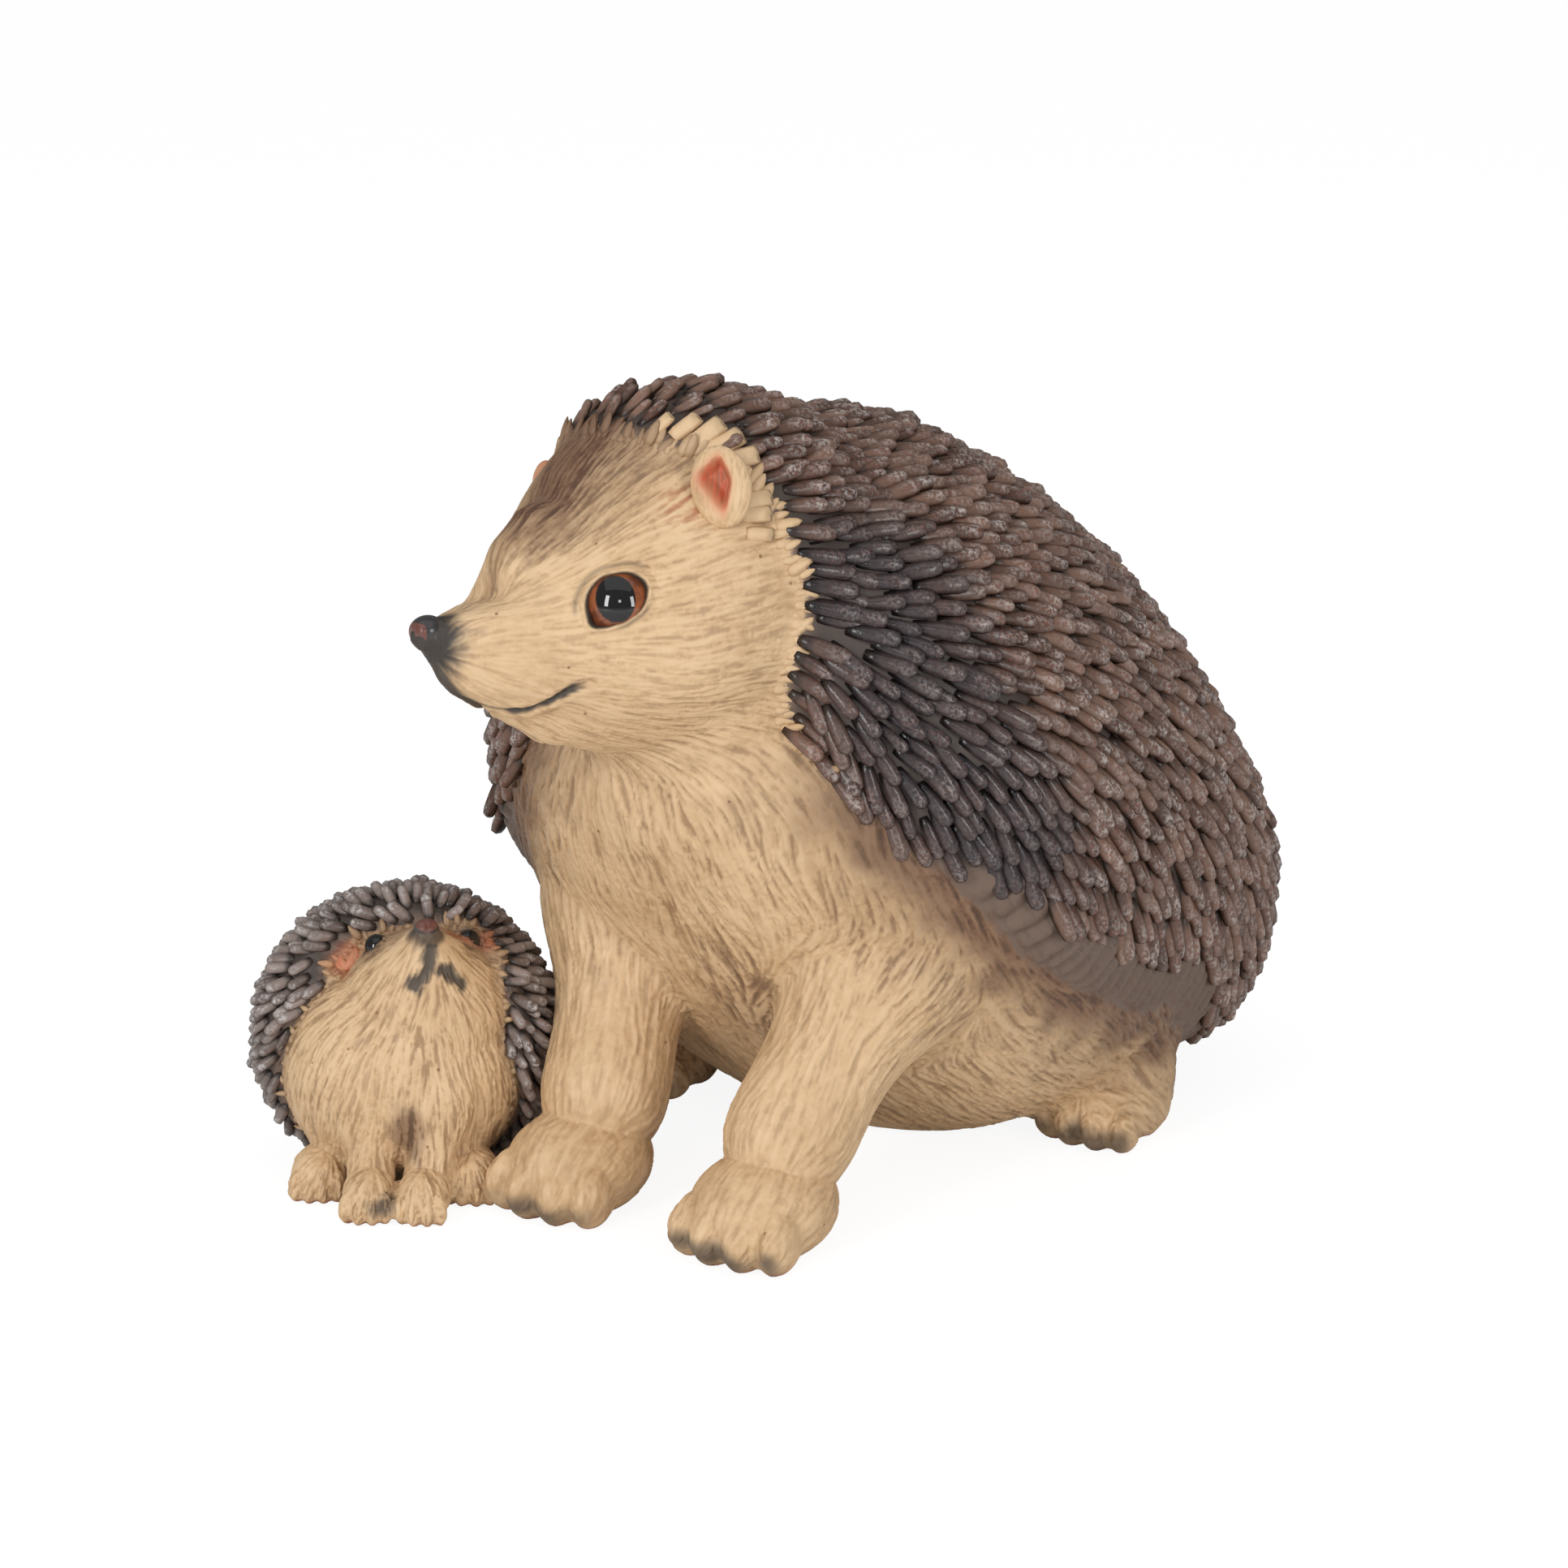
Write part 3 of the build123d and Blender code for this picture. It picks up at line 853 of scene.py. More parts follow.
@dataclass(frozen=True)
class QuillPaint:
    """Dark brown quill paint, dry brushed in grey and rust, blue-black and glossier in places, with painted
    shade on the low side and root of each quill.

    The attribute quill holds a tone per quill, how raised each point is, and the dark patches.
    """

    name: str = "quill_paint"
    dark: Tone = (70, 49, 39)
    light: Tone = (126, 98, 82)
    rust: Tone = (146, 94, 76)
    grey: Tone = (196, 186, 181)
    night: Tone = (47, 45, 50)
    # How far the low side and root of each quill are darkened towards black, as painted shade between the
    # quills.
    gap: float = 0.78
    grey_strength: float = 0.85
    rust_strength: float = 0.65

    def make(self, shop: PaintShop) -> Material:
        """Makes the material."""
        material, graph, shader = shop.start(self.name)
        place = graph.place()
        tone, raised, night = graph.attribute("quill")[:3]
        base = graph.mix(tone, srgb(*self.dark), srgb(*self.light))
        base = graph.mix(graph.times(night, 0.85), base, srgb(*self.night))
        # Painted shade: the low side and root of each quill are darkened towards black.
        deep = graph.mix(self.gap, base, (0.0, 0.0, 0.0, 1.0))
        base = graph.mix(graph.span(raised, 0.0, 0.4), deep, base)
        day = graph.math("SUBTRACT", 1.0, graph.times(night, 0.7))
        rusty = graph.group(
            shop.brush, Place=place, Color=base, Paint=srgb(*self.rust),
            Raised=graph.times(raised, day), Strength=self.rust_strength,
        )
        shift = graph.add("ShaderNodeMapping")
        shift.inputs["Location"].default_value = (0.31, 0.17, 0.05)
        graph.join(shift.inputs["Vector"], place)
        tips = graph.times(graph.span(raised, 0.55, 0.95), day)
        greyed = graph.group(
            shop.brush, Place=shift.outputs[0], Color=rusty.outputs["Color"], Paint=srgb(*self.grey),
            Raised=tips, Strength=self.grey_strength,
        )
        graph.join(shader.inputs["Base Color"], greyed.outputs["Color"])
        smooth = graph.math("SUBTRACT", greyed.outputs["Roughness"], graph.times(night, 0.1))
        graph.join(shader.inputs["Roughness"], smooth)
        shop.bump(graph, shader, graph.noise(place, 900.0, 3.0), 0.12)
        return material


@dataclass(frozen=True)
class EyePaint:
    """A glossy painted eye: black pupil, red-brown iris and a dark rim, which is painted shade under the
    lids.

    The attribute gaze holds the angle from the middle of the pupil, as a share of a right angle.
    """

    name: str = "eye_lacquer"
    pupil: Tone = (24, 22, 22)
    iris: Tone = (150, 84, 50)
    iris_deep: Tone = (98, 54, 36)
    # The dark rim past the iris: painted shade under the lids.
    rim: Tone = (38, 30, 27)
    pupil_share: float = 0.44
    iris_share: float = 0.8

    def make(self, shop: PaintShop) -> Material:
        """Makes the material."""
        material, graph, shader = shop.start(self.name)
        place = graph.place()
        gaze = graph.attribute("gaze")[0]
        uneven = graph.math("ADD", gaze, graph.times(graph.noise(place, 420.0, 2.0), 0.035))
        flecks = graph.span(graph.noise(place, 300.0, 3.0), 0.35, 0.65)
        iris = graph.mix(flecks, srgb(*self.iris), srgb(*self.iris_deep))
        past_pupil = graph.span(uneven, self.pupil_share, self.pupil_share + 0.04)
        color = graph.mix(past_pupil, srgb(*self.pupil), iris)
        # Painted shade: the ball's edge past the iris, under the lids, is dark.
        past_iris = graph.span(uneven, self.iris_share, self.iris_share + 0.05)
        color = graph.mix(past_iris, color, srgb(*self.rim))
        graph.join(shader.inputs["Base Color"], color)
        shader.inputs["Roughness"].default_value = 0.12
        shader.inputs["Specular IOR Level"].default_value = 0.0
        shader.inputs["Coat Weight"].default_value = 1.0
        shader.inputs["Coat Roughness"].default_value = 0.03
        shader.inputs["Coat IOR"].default_value = 1.6
        return material


@dataclass(frozen=True)
class NosePaint:
    """A satin black nose, rubbed red-brown where it faces ahead."""

    name: str = "nose_paint"
    black: Tone = (52, 49, 49)
    red: Tone = (108, 64, 54)

    def make(self, shop: PaintShop) -> Material:
        """Makes the material."""
        material, graph, shader = shop.start(self.name)
        place = graph.place()
        front = graph.attribute("front")[0]
        uneven = graph.math("ADD", front, graph.times(graph.noise(place, 600.0, 3.0), 0.16))
        color = graph.mix(graph.span(uneven, 0.86, 1.0), srgb(*self.black), srgb(*self.red))
        dusty = graph.group(
            shop.brush, Place=place, Color=color, Paint=srgb(150, 142, 140), Raised=front, Strength=0.14
        )
        graph.join(shader.inputs["Base Color"], dusty.outputs["Color"])
        shader.inputs["Roughness"].default_value = 0.3
        shader.inputs["Coat Weight"].default_value = 0.4
        shader.inputs["Coat Roughness"].default_value = 0.15
        shop.bump(graph, shader, graph.noise(place, 700.0, 3.0), 0.1)
        return material


# The skins


@dataclass
class Carving:
    """Where the carved fur runs, how deep it is and how much of it is fine, at each point."""

    flow: Array
    depth: Array
    fine: Array


@dataclass
class Skin:
    """A painted casting whose fur is carved into its surface.

    Attributes:
        who: The first word of the nodes' names.
        coat: The node of the spine coat.
        nodes: The nodes under the skin.
        grain: The size of the coarsest faces.
        head: The head's place.
        coat_evening: How many times the ground of the quills is evened out.
        fine_stroke: The width of a fine stroke.
        broad_stroke: The width of a broad stroke.
        mesh: The skin, in millimetres.
    """

    who: str
    coat: str
    nodes: Sequence[str]
    grain: float
    head: HeadPlace
    coat_evening: int = 30
    fine_stroke: float = 0.62
    broad_stroke: float = 0.95
    mesh: Mesh = field(init=False)

    def paws(self) -> list[str]:
        """The nodes of its paws."""
        return [f"{self.who}_{side.word}_{paw}" for side in Side for paw in ("forepaw", "hind_paw")]

    def edge_distance(self) -> Array:
        """How far each point lies from the coat's edge: over zero on the coat, under zero on fur."""
        points = points_of(self.mesh)
        gaps = []
        for nodes in ([self.coat], [node for node in self.nodes if node != self.coat]):
            shape = copies_of(nodes)
            bmesh.ops.remove_doubles(shape, verts=shape.verts, dist=1e-6)
            tree = BVHTree.FromBMesh(shape)
            shape.free()
            gaps.append(np.array([tree.find_nearest(Vector(spot))[3] for spot in points * MM]))
        on_coat = gaps[0] < gaps[1]
        distance = np.empty(len(points))
        for here in (True, False):
            others = np.flatnonzero(on_coat != here)
            near = KDTree(len(others))
            for number in others:
                near.insert(Vector(points[number]), int(number))
            near.balance()
            for number in np.flatnonzero(on_coat == here):
                gap = near.find(Vector(points[number]))[2]
                distance[number] = gap if here else -gap
        return relax(distance, pairs_of(self.mesh), 2)

    def shape_base(self) -> None:
        """Casts the skin, marks the coat's edge on it and evens out the ground of the quills."""
        self.mesh = casting(self.nodes, self.grain)
        pairs = pairs_of(self.mesh)
        edge = self.edge_distance()
        set_values(self.mesh, "edge", edge)
        points = relax(points_of(self.mesh), pairs, 5, spring=0.52)
        points = relax(points, pairs, self.coat_evening, mask=ramp(1.0, 5.0, edge))
        set_points(self.mesh, points)

    def snap_back(self, nodes: Sequence[str], reach: float, share: float) -> None:
        """Draws the skin back onto the nodes where it was smoothed too much.

        Args:
            nodes: The nodes whose forms count.
            reach: The largest gap that is closed.
            share: How much of a gap is closed.
        """
        shape = copies_of(nodes)
        tree = BVHTree.FromBMesh(shape)
        shape.free()
        points = points_of(self.mesh)
        near = np.zeros(len(points), bool)
        for node in nodes:
            low, high = box_of(node)
            near |= np.all((points > low - reach) & (points < high + reach), axis=1)
        for number in np.flatnonzero(near):
            spot, _, _, gap = tree.find_nearest(Vector(points[number] * MM))
            pull = share * float(ramp(reach, reach / 2, np.float64(gap / MM)))
            points[number] += pull * (np.array(spot) / MM - points[number])
        set_points(self.mesh, points)

    def refine(self, wanted: Array, rounds: int = 2) -> None:
        """Halves the faces that are wanted and evens them out."""
        refine(self.mesh, wanted)
        points = relax(points_of(self.mesh), pairs_of(self.mesh), rounds, spring=0.5)
        set_points(self.mesh, points)

    def carve(self, carving: Carving, seed: int) -> Array:
        """Cuts the fur strokes.

        Args:
            carving: The strokes' direction, depth and fineness.
            seed: The seed of the strokes.

        Returns:
            The strokes, with a mean of 0, for the paint to follow.
        """
        points = points_of(self.mesh)
        normals = normals_of(self.mesh)
        small = Lattice(seed).streaks(points, carving.flow, self.fine_stroke, self.fine_stroke * 4)
        broad = Lattice(seed + 1).streaks(points, carving.flow, self.broad_stroke, self.broad_stroke * 3)
        strokes = small * carving.fine + broad * (1 - carving.fine)
        strokes = strokes + 0.45 * (small * (1 - carving.fine) + broad * carving.fine)
        set_points(self.mesh, points + normals * (np.tanh(strokes) * carving.depth)[:, None])
        return strokes

    def settle_part(
        self, mesh: Mesh, name: str, material: Material, nodes: Sequence[str] = ()
    ) -> None:
        """Brings one part of the skin to metres, with the whole skin's smooth normals.

        Args:
            mesh: The part, in millimetres.
            name: Its name after the animal's.
            material: Its paint.
            nodes: The nodes that it stands for.
        """
        mesh.name = f"{self.who}_{name}"
        part = new_object(mesh.name, mesh)
        mesh.transform(Matrix.Scale(MM, 4))
        mesh.polygons.foreach_set("use_smooth", np.ones(len(mesh.polygons), bool))
        shine = values_of(mesh, "shine", 3)
        mesh.normals_split_custom_set_from_vertices(unit_rows(shine + 1e-9).tolist())
        for spare in ("shine", "edge"):
            mesh.attributes.remove(mesh.attributes[spare])
        settle(part, material, nodes)


@dataclass
class EyeOpening:
    """The opening between the lids of one eye.

    Attributes:
        spot: The middle of the eye in the head's axes, for the left eye.
        look: The direction that the eye faces.
        outline: Points around the opening: degrees from its outer end, and how far out they are.
    """

    spot: Triple
    look: Triple
    outline: tuple[tuple[float, float], ...]

    def reach(self, angles: Array) -> Array:
        """How far out the outline is at each angle, in degrees."""
        marks, reaches = np.array(sorted(self.outline)).T
        table = np.interp(np.arange(-180, 180), marks, reaches, period=360)
        spread = 9
        table = np.mean([np.roll(table, step) for step in range(-spread, spread + 1)], axis=0)
        return table[np.round(angles).astype(int) % 360 - 180]

    def measure(self, own: Array) -> tuple[Array, Array]:
        """Where points lie around the nearer eye.

        Args:
            own: Points in the head's axes.

        Returns:
            The distance from the eye's middle as a share of its outline, and the offsets along,
            up and ahead of the eye.
        """
        offset = (to_left(own) - np.array(self.spot)) @ own_axes(self.look)
        angles = np.degrees(np.arctan2(offset[:, 1], offset[:, 0]))
        share = np.hypot(offset[:, 0], offset[:, 1]) / self.reach(angles)
        return np.where(offset[:, 2] > -6, share, 99.0), offset


@dataclass
class MotherSkin(Skin):
    """The mother's fur, face, legs and paws, and the ground of her coat.

    Places on the head are in its own axes, on its left.

    Attributes:
        mouth: The line of the mouth, from under the nose to its corner.
        eye: The opening of the eye.
        ear_spot: The middle of the ear.
        nose_spot: The middle of the nose.
        coat_sink: How far the ground of the quills is sunk.
        bridge_line: The muzzle's upper line seen from the side: places ahead and heights.
        jaw_line: Its lower line.
        muzzle_middle: The height between the two.
        profile_width: How broadly the muzzle follows them.
        forms: Soft bumps and hollows of the head: the place, the size and the height of each.
        ridge_step: The distance between ridges of the plain band under the quills.
        ridge_height: Their height.
        band: The width of that band.
        hollow_spot: The middle of the brown hollow between the forelegs, in the row frame.
        hollow_size: Its half sizes.
        neck_spot: A point of the cut between head and body.
        neck_way: The direction across that cut.
        face_depth: How far ahead of the head's middle the face's piece ends.
        haunch_behind: How far behind the hollow the haunches' pieces start.
    """

    mouth: tuple[Triple, ...] = (
        (0.0, -67.0, -4.0),
        (0.0, -66.0, -9.0),
        (0.0, -62.0, -13.0),
        (0.3, -57.0, -15.9),
        (4.3, -52.0, -17.2),
        (9.0, -48.1, -17.4),
        (12.7, -45.5, -16.2),
        (15.9, -43.3, -14.4),
        (20.4, -39.5, -13.4),
    )
    eye: EyeOpening = field(default_factory=lambda: EyeOpening(
        (23.0, -31.0, 3.8), (0.76, -0.62, 0.19),
        ((-162, 6.9), (-143, 8.1), (-130, 6.9), (-102, 5.3), (-62, 5.0), (-12, 6.4),
         (13, 7.3), (40, 6.6), (80, 5.3), (138, 5.7)),
    ))
    ear_spot: Triple = (34.0, -9.0, 26.0)
    nose_spot: Triple = (0.0, -67.2, 2.4)
    coat_sink: float = 1.1
    bridge_line: tuple[tuple[float, float], ...] = (
        (-70.0, 5.5), (-66.5, 6.0), (-62.6, 5.5), (-56.8, 6.4), (-51.6, 8.8),
        (-49.0, 11.0), (-47.9, 15.5), (-44.9, 20.3), (-40.9, 24.6), (-36.9, 28.9),
    )
    jaw_line: tuple[tuple[float, float], ...] = (
        (-69.0, -1.5), (-67.9, -3.3), (-66.5, -9.0), (-62.3, -13.0), (-55.6, -16.5),
        (-51.6, -18.6), (-49.1, -22.0), (-44.6, -24.8), (-40.1, -28.0),
    )
    muzzle_middle: float = -2.0
    profile_width: float = 9.0
    forms: tuple[tuple[Triple, Triple, float], ...] = (
        ((9.5, -51.0, -10.0), (9.0, 9.0, 6.5), 1.8),
        ((9.0, -43.0, -21.0), (9.0, 9.0, 4.5), -1.0),
        ((23.0, -23.0, 18.0), (10.0, 9.0, 6.0), 0.9),
        ((14.5, -42.0, 4.0), (4.5, 6.0, 7.0), -0.9),
        ((31.0, -14.0, -14.0), (10.0, 14.0, 10.0), 1.2),
        ((0.0, -51.0, 9.0), (8.0, 2.8, 3.2), -1.9),
        ((0.0, -45.0, 19.0), (9.0, 5.0, 6.0), 1.0),
        ((0.0, -31.0, 36.0), (10.0, 7.0, 7.0), 1.0),
    )
    ridge_step: float = 4.2
    ridge_height: float = 1.5
    band: float = 13.0
    hollow_spot: Triple = (22.0, -58.0, 52.0)
    hollow_size: Triple = (16.0, 30.0, 26.0)
    neck_spot: Triple = (0.0, -20.0, -27.0)
    neck_way: Triple = (0.0, -0.35, 1.0)
    face_depth: float = 26.0
    haunch_behind: float = 36.0

    def build(self) -> None:
        """Shapes, carves and paints the whole skin."""
        self.shape_base()
        self.soften_skirt()
        self.flatten_eyes()
        self.refine(self.near_fur())
        self.snap_back(self.paws(), reach=2.4, share=0.9)
        self.model_forms()
        self.refine(self.near_fur() & (face_middles(self.mesh)[:, 2] > 2.0), 2)
        self.refine(self.face_zone(), 2)
        self.model_details()
        self.paint(self.carve(self.strokes(), Seed.STROKES))

    def near_fur(self) -> Array:
        """The faces that aren't under the quills."""
        edge = face_means(self.mesh, values_of(self.mesh, "edge"))
        return edge < self.band_width(face_middles(self.mesh)) + 4

    def face_zone(self) -> Array:
        """The faces of her face, which need the finest mesh."""
        own = self.head.inside(face_middles(self.mesh))
        edge = face_means(self.mesh, values_of(self.mesh, "edge"))
        low, high = np.array([-45.0, -np.inf, -30.0]), np.array([45.0, 2.0, 42.0])
        return (edge < 2.0) & np.all((own > low) & (own < high), axis=1)

    def band_width(self, points: Array) -> Array:
        """How broad the plain band along the coat's lower edge is."""
        return self.band * ramp(-62.0, -34.0, points[:, 1]) * ramp(125.0, 100.0, points[:, 2])

    def soften_skirt(self) -> None:
        """Runs the coat's lower edge out into the flank and sinks the ground of the quills."""
        points = points_of(self.mesh)
        edge = values_of(self.mesh, "edge")
        pairs = pairs_of(self.mesh)
        low = ramp(130.0, 100.0, points[:, 2])
        near = ramp(9.0, 4.0, np.abs(edge - 1.0))
        points = relax(points, pairs, 24, mask=near * low)
        points = relax(points, pairs, 5, mask=ramp(6.0, 3.0, np.abs(edge)))
        set_points(self.mesh, points)
        sink = self.coat_sink * ramp(0.5, 5.0, edge - self.band_width(points))
        set_points(self.mesh, points - normals_of(self.mesh) * sink[:, None])

    def flatten_eyes(self) -> None:
        """Takes down the bulges over the eyes, so that lids can be cut there."""
        points = points_of(self.mesh)
        share, _ = self.eye.measure(self.head.inside(points))
        set_points(self.mesh, relax(points, pairs_of(self.mesh), 40, mask=ramp(1.9, 1.3, share)))

    def fit_profile(self, own: Array, line: Sequence[Sequence[float]], upper: bool) -> Array:
        """Lifts or lowers the muzzle so that its middle follows a line seen from the side.

        Args:
            own: The skin's points in the head's axes.
            line: Places ahead and heights along the line.
            upper: Whether it is the line over the muzzle or the one under it.

        Returns:
            The points after it.
        """
        ahead, heights = np.array(line).T
        stations = np.arange(ahead[0], ahead[-1] + 0.5, 0.75)
        spine = own[np.abs(own[:, 0]) < 2.0]
        spine = spine[(spine[:, 2] > self.muzzle_middle) == upper]
        found = []
        for station in stations:
            here = spine[np.abs(spine[:, 1] - station) < 1.3, 2]
            best = (here.max() if upper else here.min()) if len(here) else np.nan
            found.append(best)
        found = np.array(found)
        known = ~np.isnan(found)
        change = np.interp(stations, ahead, heights) - np.interp(stations, stations[known], found[known])
        change = np.convolve(np.pad(change, 1, "edge"), (0.25, 0.5, 0.25), "valid")
        rise = np.interp(own[:, 1], stations, change) * ramp(ahead[-1] + 7, ahead[-1] - 2, own[:, 1])
        side = 1 if upper else -1
        middle = ramp(-3.0, 5.0, side * (own[:, 2] - self.muzzle_middle))
        moved = own.copy()
        moved[:, 2] += rise * middle * bell(own[:, 0], self.profile_width)
        return moved

    def model_forms(self) -> None:
        """Pushes and pulls the larger forms of the head."""
        points = points_of(self.mesh)
        own = self.head.inside(points)
        near = (own[:, 1] < -25) & (own[:, 2] > -36) & (np.abs(own[:, 0]) < 30)
        shaped = self.fit_profile(own[near], self.bridge_line, True)
        shaped = self.fit_profile(shaped, self.jaw_line, False)
        tip = ramp(-57.0, -66.0, shaped[:, 1])
        shaped[:, 0] *= 1 - 0.26 * tip
        own[near] = shaped
        set_points(self.mesh, self.head.outside(own))
        normals = normals_of(self.mesh)
        folded = to_left(own)
        move = np.zeros(len(points))
        for spot, size, height in self.forms:
            away = np.sum(((folded - np.array(spot)) / np.array(size)) ** 2, axis=1)
            move += height * np.exp(-away)
        set_points(self.mesh, points_of(self.mesh) + normals * move[:, None])

    def model_details(self) -> None:
        """Cuts the eyes' openings with their lids, and the line of the mouth."""
        points = points_of(self.mesh)
        normals = normals_of(self.mesh)
        own = self.head.inside(points)
        share, offset = self.eye.measure(own)
        lids = 0.75 * bell(share - 1.13, 0.12) - 3.6 * ramp(1.05, 0.84, share)
        crease = -0.4 * bell(share - 1.42, 0.09) * ramp(-1.0, 3.0, offset[:, 1])
        gap, along = self.mouth_gap(own)
        depth = np.interp(along, (0.0, 0.3, 0.5, 0.85, 1.0), (0.4, 0.6, 1.4, 1.1, 0.5))
        lips = -depth * bell(gap, 0.75) + 0.3 * depth * bell(gap - 2.2, 1.1)
        move = lids + crease + lips + self.skirt_ridges(points)
        set_points(self.mesh, points + normals * move[:, None])

    def skirt_ridges(self, points: Array) -> Array:
        """How high the slanted ridges stand on the plain band along the coat's lower edge."""
        edge = values_of(self.mesh, "edge")
        width = self.band_width(points)
        waver = 2.5 * Lattice(Seed.SKIRT).at(points, 8.0)
        phase = (points[:, 1] - 0.45 * edge + waver) / self.ridge_step
        crest = np.abs(np.sin(np.pi * phase)) ** 1.5
        band = ramp(1.5, 4.5, edge) * ramp(3.0, 8.0, width) * ramp(width + 7.0, width + 2.0, edge)
        return self.ridge_height * (crest - 0.5) * band

    def mouth_gap(self, own: Array) -> tuple[Array, Array]:
        """How far points lie from the mouth's line, and where along it."""
        folded = to_left(own)
        muzzle = folded[(own[:, 1] < -34) & (own[:, 2] < 2)]
        return beside_path(folded, snapped(rounded_path(self.mouth), muzzle), 6.0)

    def strokes(self) -> Carving:
        """Where the fur runs: back from the nose over the head, then down over the body and legs.

        Returns:
            The carving.
        """
        points = points_of(self.mesh)
        normals = normals_of(self.mesh)
        own = self.head.inside(points)
        edge = values_of(self.mesh, "edge")
        nose = self.head.outside(np.array(self.nose_spot) + np.array([0, 4.0, -4.0]))
        from_nose = unit_rows(points - nose)
        body = np.zeros_like(points)
        back = ramp(-80.0, -20.0, points[:, 1])
        body[:, 1] = 0.1 + 0.8 * back
        body[:, 2] = -1.0
        body[:, 0] = 0.25 * np.sign(points[:, 0] - self.head.origin[0]) * ramp(0, 30, np.abs(points[:, 0]))
        for side in Side:
            paw = middle_of(f"{self.who}_{side.word}_forepaw")
            leg = middle_of(f"{self.who}_{side.word}_foreleg")
            way = unit(paw - leg)
            near = ramp(36.0, 22.0, to_segment(points, leg - way * 12, paw))[:, None]
            body = body * (1 - near) + way * near
            foot = ramp(24.0, 16.0, lengths((points - paw)[:, :2]))
            foot = (foot * ramp(30.0, 18.0, points[:, 2]))[:, None]
            body = body * (1 - foot) + unit((0, -1, -0.55)) * foot
        on_head = ramp(-62.0, -30.0, own[:, 2]) * ramp(30.0, 0.0, own[:, 1])
        flow = unit_rows(body) * (1 - on_head[:, None]) + from_nose * on_head[:, None]
        swirl = Lattice(Seed.SWIRL).swirl(points, 9.0, 400.0)
        flow = tangent(flow + (0.5 - 0.25 * on_head[:, None]) * swirl, normals)
        fine = ramp(-45.0, -20.0, own[:, 2]) * ramp(22.0, 0.0, own[:, 1])
        muzzle = ramp(-34.0, -52.0, own[:, 1]) * on_head
        leg = ramp(62.0, 40.0, points[:, 2]) * ramp(-40.0, -70.0, points[:, 1])
        depth = 0.36 * (1 - fine) * (1 - 0.35 * leg) + 0.16 * fine
        depth = depth * (1 - 0.45 * muzzle) * ramp(0.5, 4.0, points[:, 2])
        share, _ = self.eye.measure(own)
        depth = depth * (0.15 + 0.85 * ramp(1.1, 1.7, share)) * ramp(6.0, 0.0, edge - self.band_width(points))
        depth = depth * (1 - 0.75 * ramp(0.0, 2.5, edge))
        return Carving(flow, depth, 0.5 + 0.5 * fine)

    def paint(self, strokes: Array) -> None:
        """Lays the paint over the skin as masks that the material reads.

        Args:
            strokes: How high the carved strokes stand at each point.
        """
        points = points_of(self.mesh)
        own = self.head.inside(points)
        edge = values_of(self.mesh, "edge")
        folded = to_left(own)
        cloud = Lattice(Seed.CLOUD).at(points, 6.0) - 0.5
        width = np.interp(own[:, 1], (-66, -50, -45, -40, -28, -14), (3.0, 5.0, 11, 17, 28, 36))
        forehead = ramp(1.05, 0.1, (folded[:, 0] + 6 * cloud + 0.5 * strokes) / width)
        forehead *= (0.35 + 0.65 * ramp(-49.0, -38.0, own[:, 1])) * ramp(0.0, 6.0, own[:, 2])
        forehead *= ramp(60.0, 20.0, own[:, 1])
        low = ramp(128.0, 104.0, points[:, 2])
        flank = ramp(-21.0, -2.0, edge + 9 * cloud + 1.4 * strokes) * low
        hip = 0.3 * ramp(-34.0, -10.0, edge + 10 * cloud) * low
        hollow = 0.5 * ramp(1.0, 0.4, lengths((points - self.hollow_spot) / self.hollow_size))
        hollow = hollow * ramp(1.6, -0.6, strokes)
        brown = np.maximum.reduce([0.95 * forehead, 0.9 * flank, hip, hollow])
        brown = np.clip(brown - 0.08 * np.tanh(strokes), 0, 1)
        grey = ramp(-1.2, 1.2, edge + 0.8 * strokes - 1.2 * low)
        nose = lengths(folded - np.array([0, -69.5, 0.5]))
        black = 0.97 * ramp(13.5, 6.5, nose + 3.5 * cloud + 0.5 * strokes)
        gap, along = self.mouth_gap(own)
        breadth = np.interp(
            along, (0.0, 0.15, 0.3, 0.42, 0.66, 0.8, 0.9, 1.0), (3.0, 2.2, 1.7, 1.4, 1.1, 0.8, 1.3, 1.5))
        line = ramp(1.5, 0.6, gap / breadth + 0.3 * cloud + 0.15 * strokes * ramp(0.75, 0.95, along))
        black = np.maximum(black, 0.93 * line * ramp(1.0, 0.9, along))
        share, offset = self.eye.measure(own)
        # Painted shade: a dark ring along the lids round each eye.
        lid_shade = 0.95 * ramp(1.12, 1.02, share)
        over = 0.45 * bell(share - 1.42, 0.1) * ramp(1.0, 4.0, offset[:, 1] - 0.4 * offset[:, 0])
        under = 0.5 * bell(share - 1.22, 0.08) * ramp(-2.0, -4.0, offset[:, 1])
        under *= ramp(-3.0, 1.0, offset[:, 0])
        # Painted shade: the ground under the quills is darkened towards black.
        quill_ground_shade = 0.7 * ramp(1.0, 5.0, edge - self.band_width(points))
        black = np.maximum.reduce([black, lid_shade, over, under, quill_ground_shade, self.toe_smudges(points, cloud)])
        blush = (folded - np.array(self.ear_spot) - np.array([-3.0, -5.0, -3.0])) / (1.0, 1.2, 0.8)
        red = 0.5 * ramp(8.5, 2.0, lengths(blush)) * ramp(1.2, -0.8, strokes)
        red = np.maximum(red, 0.65 * ramp(1.8, 0.3, points[:, 2] + 0.8 * cloud))
        on_body = ramp(-22.0, -40.0, own[:, 2])
        groove = ramp(-0.2 - 0.3 * on_body, -2.1, strokes) * (0.7 + 0.3 * on_body)
        leg = ramp(70.0, 45.0, points[:, 2]) * ramp(-40.0, -70.0, points[:, 1])
        groove *= (1 - 0.4 * ramp(-40.0, -52.0, own[:, 1])) * (1 - 0.5 * leg)
        groove *= 1 - 0.7 * ramp(0.0, 2.5, edge)
        set_masks(self.mesh, "tint", brown, black, red)
        set_masks(self.mesh, "carve", groove, ramp(0.2, 1.8, strokes), grey)

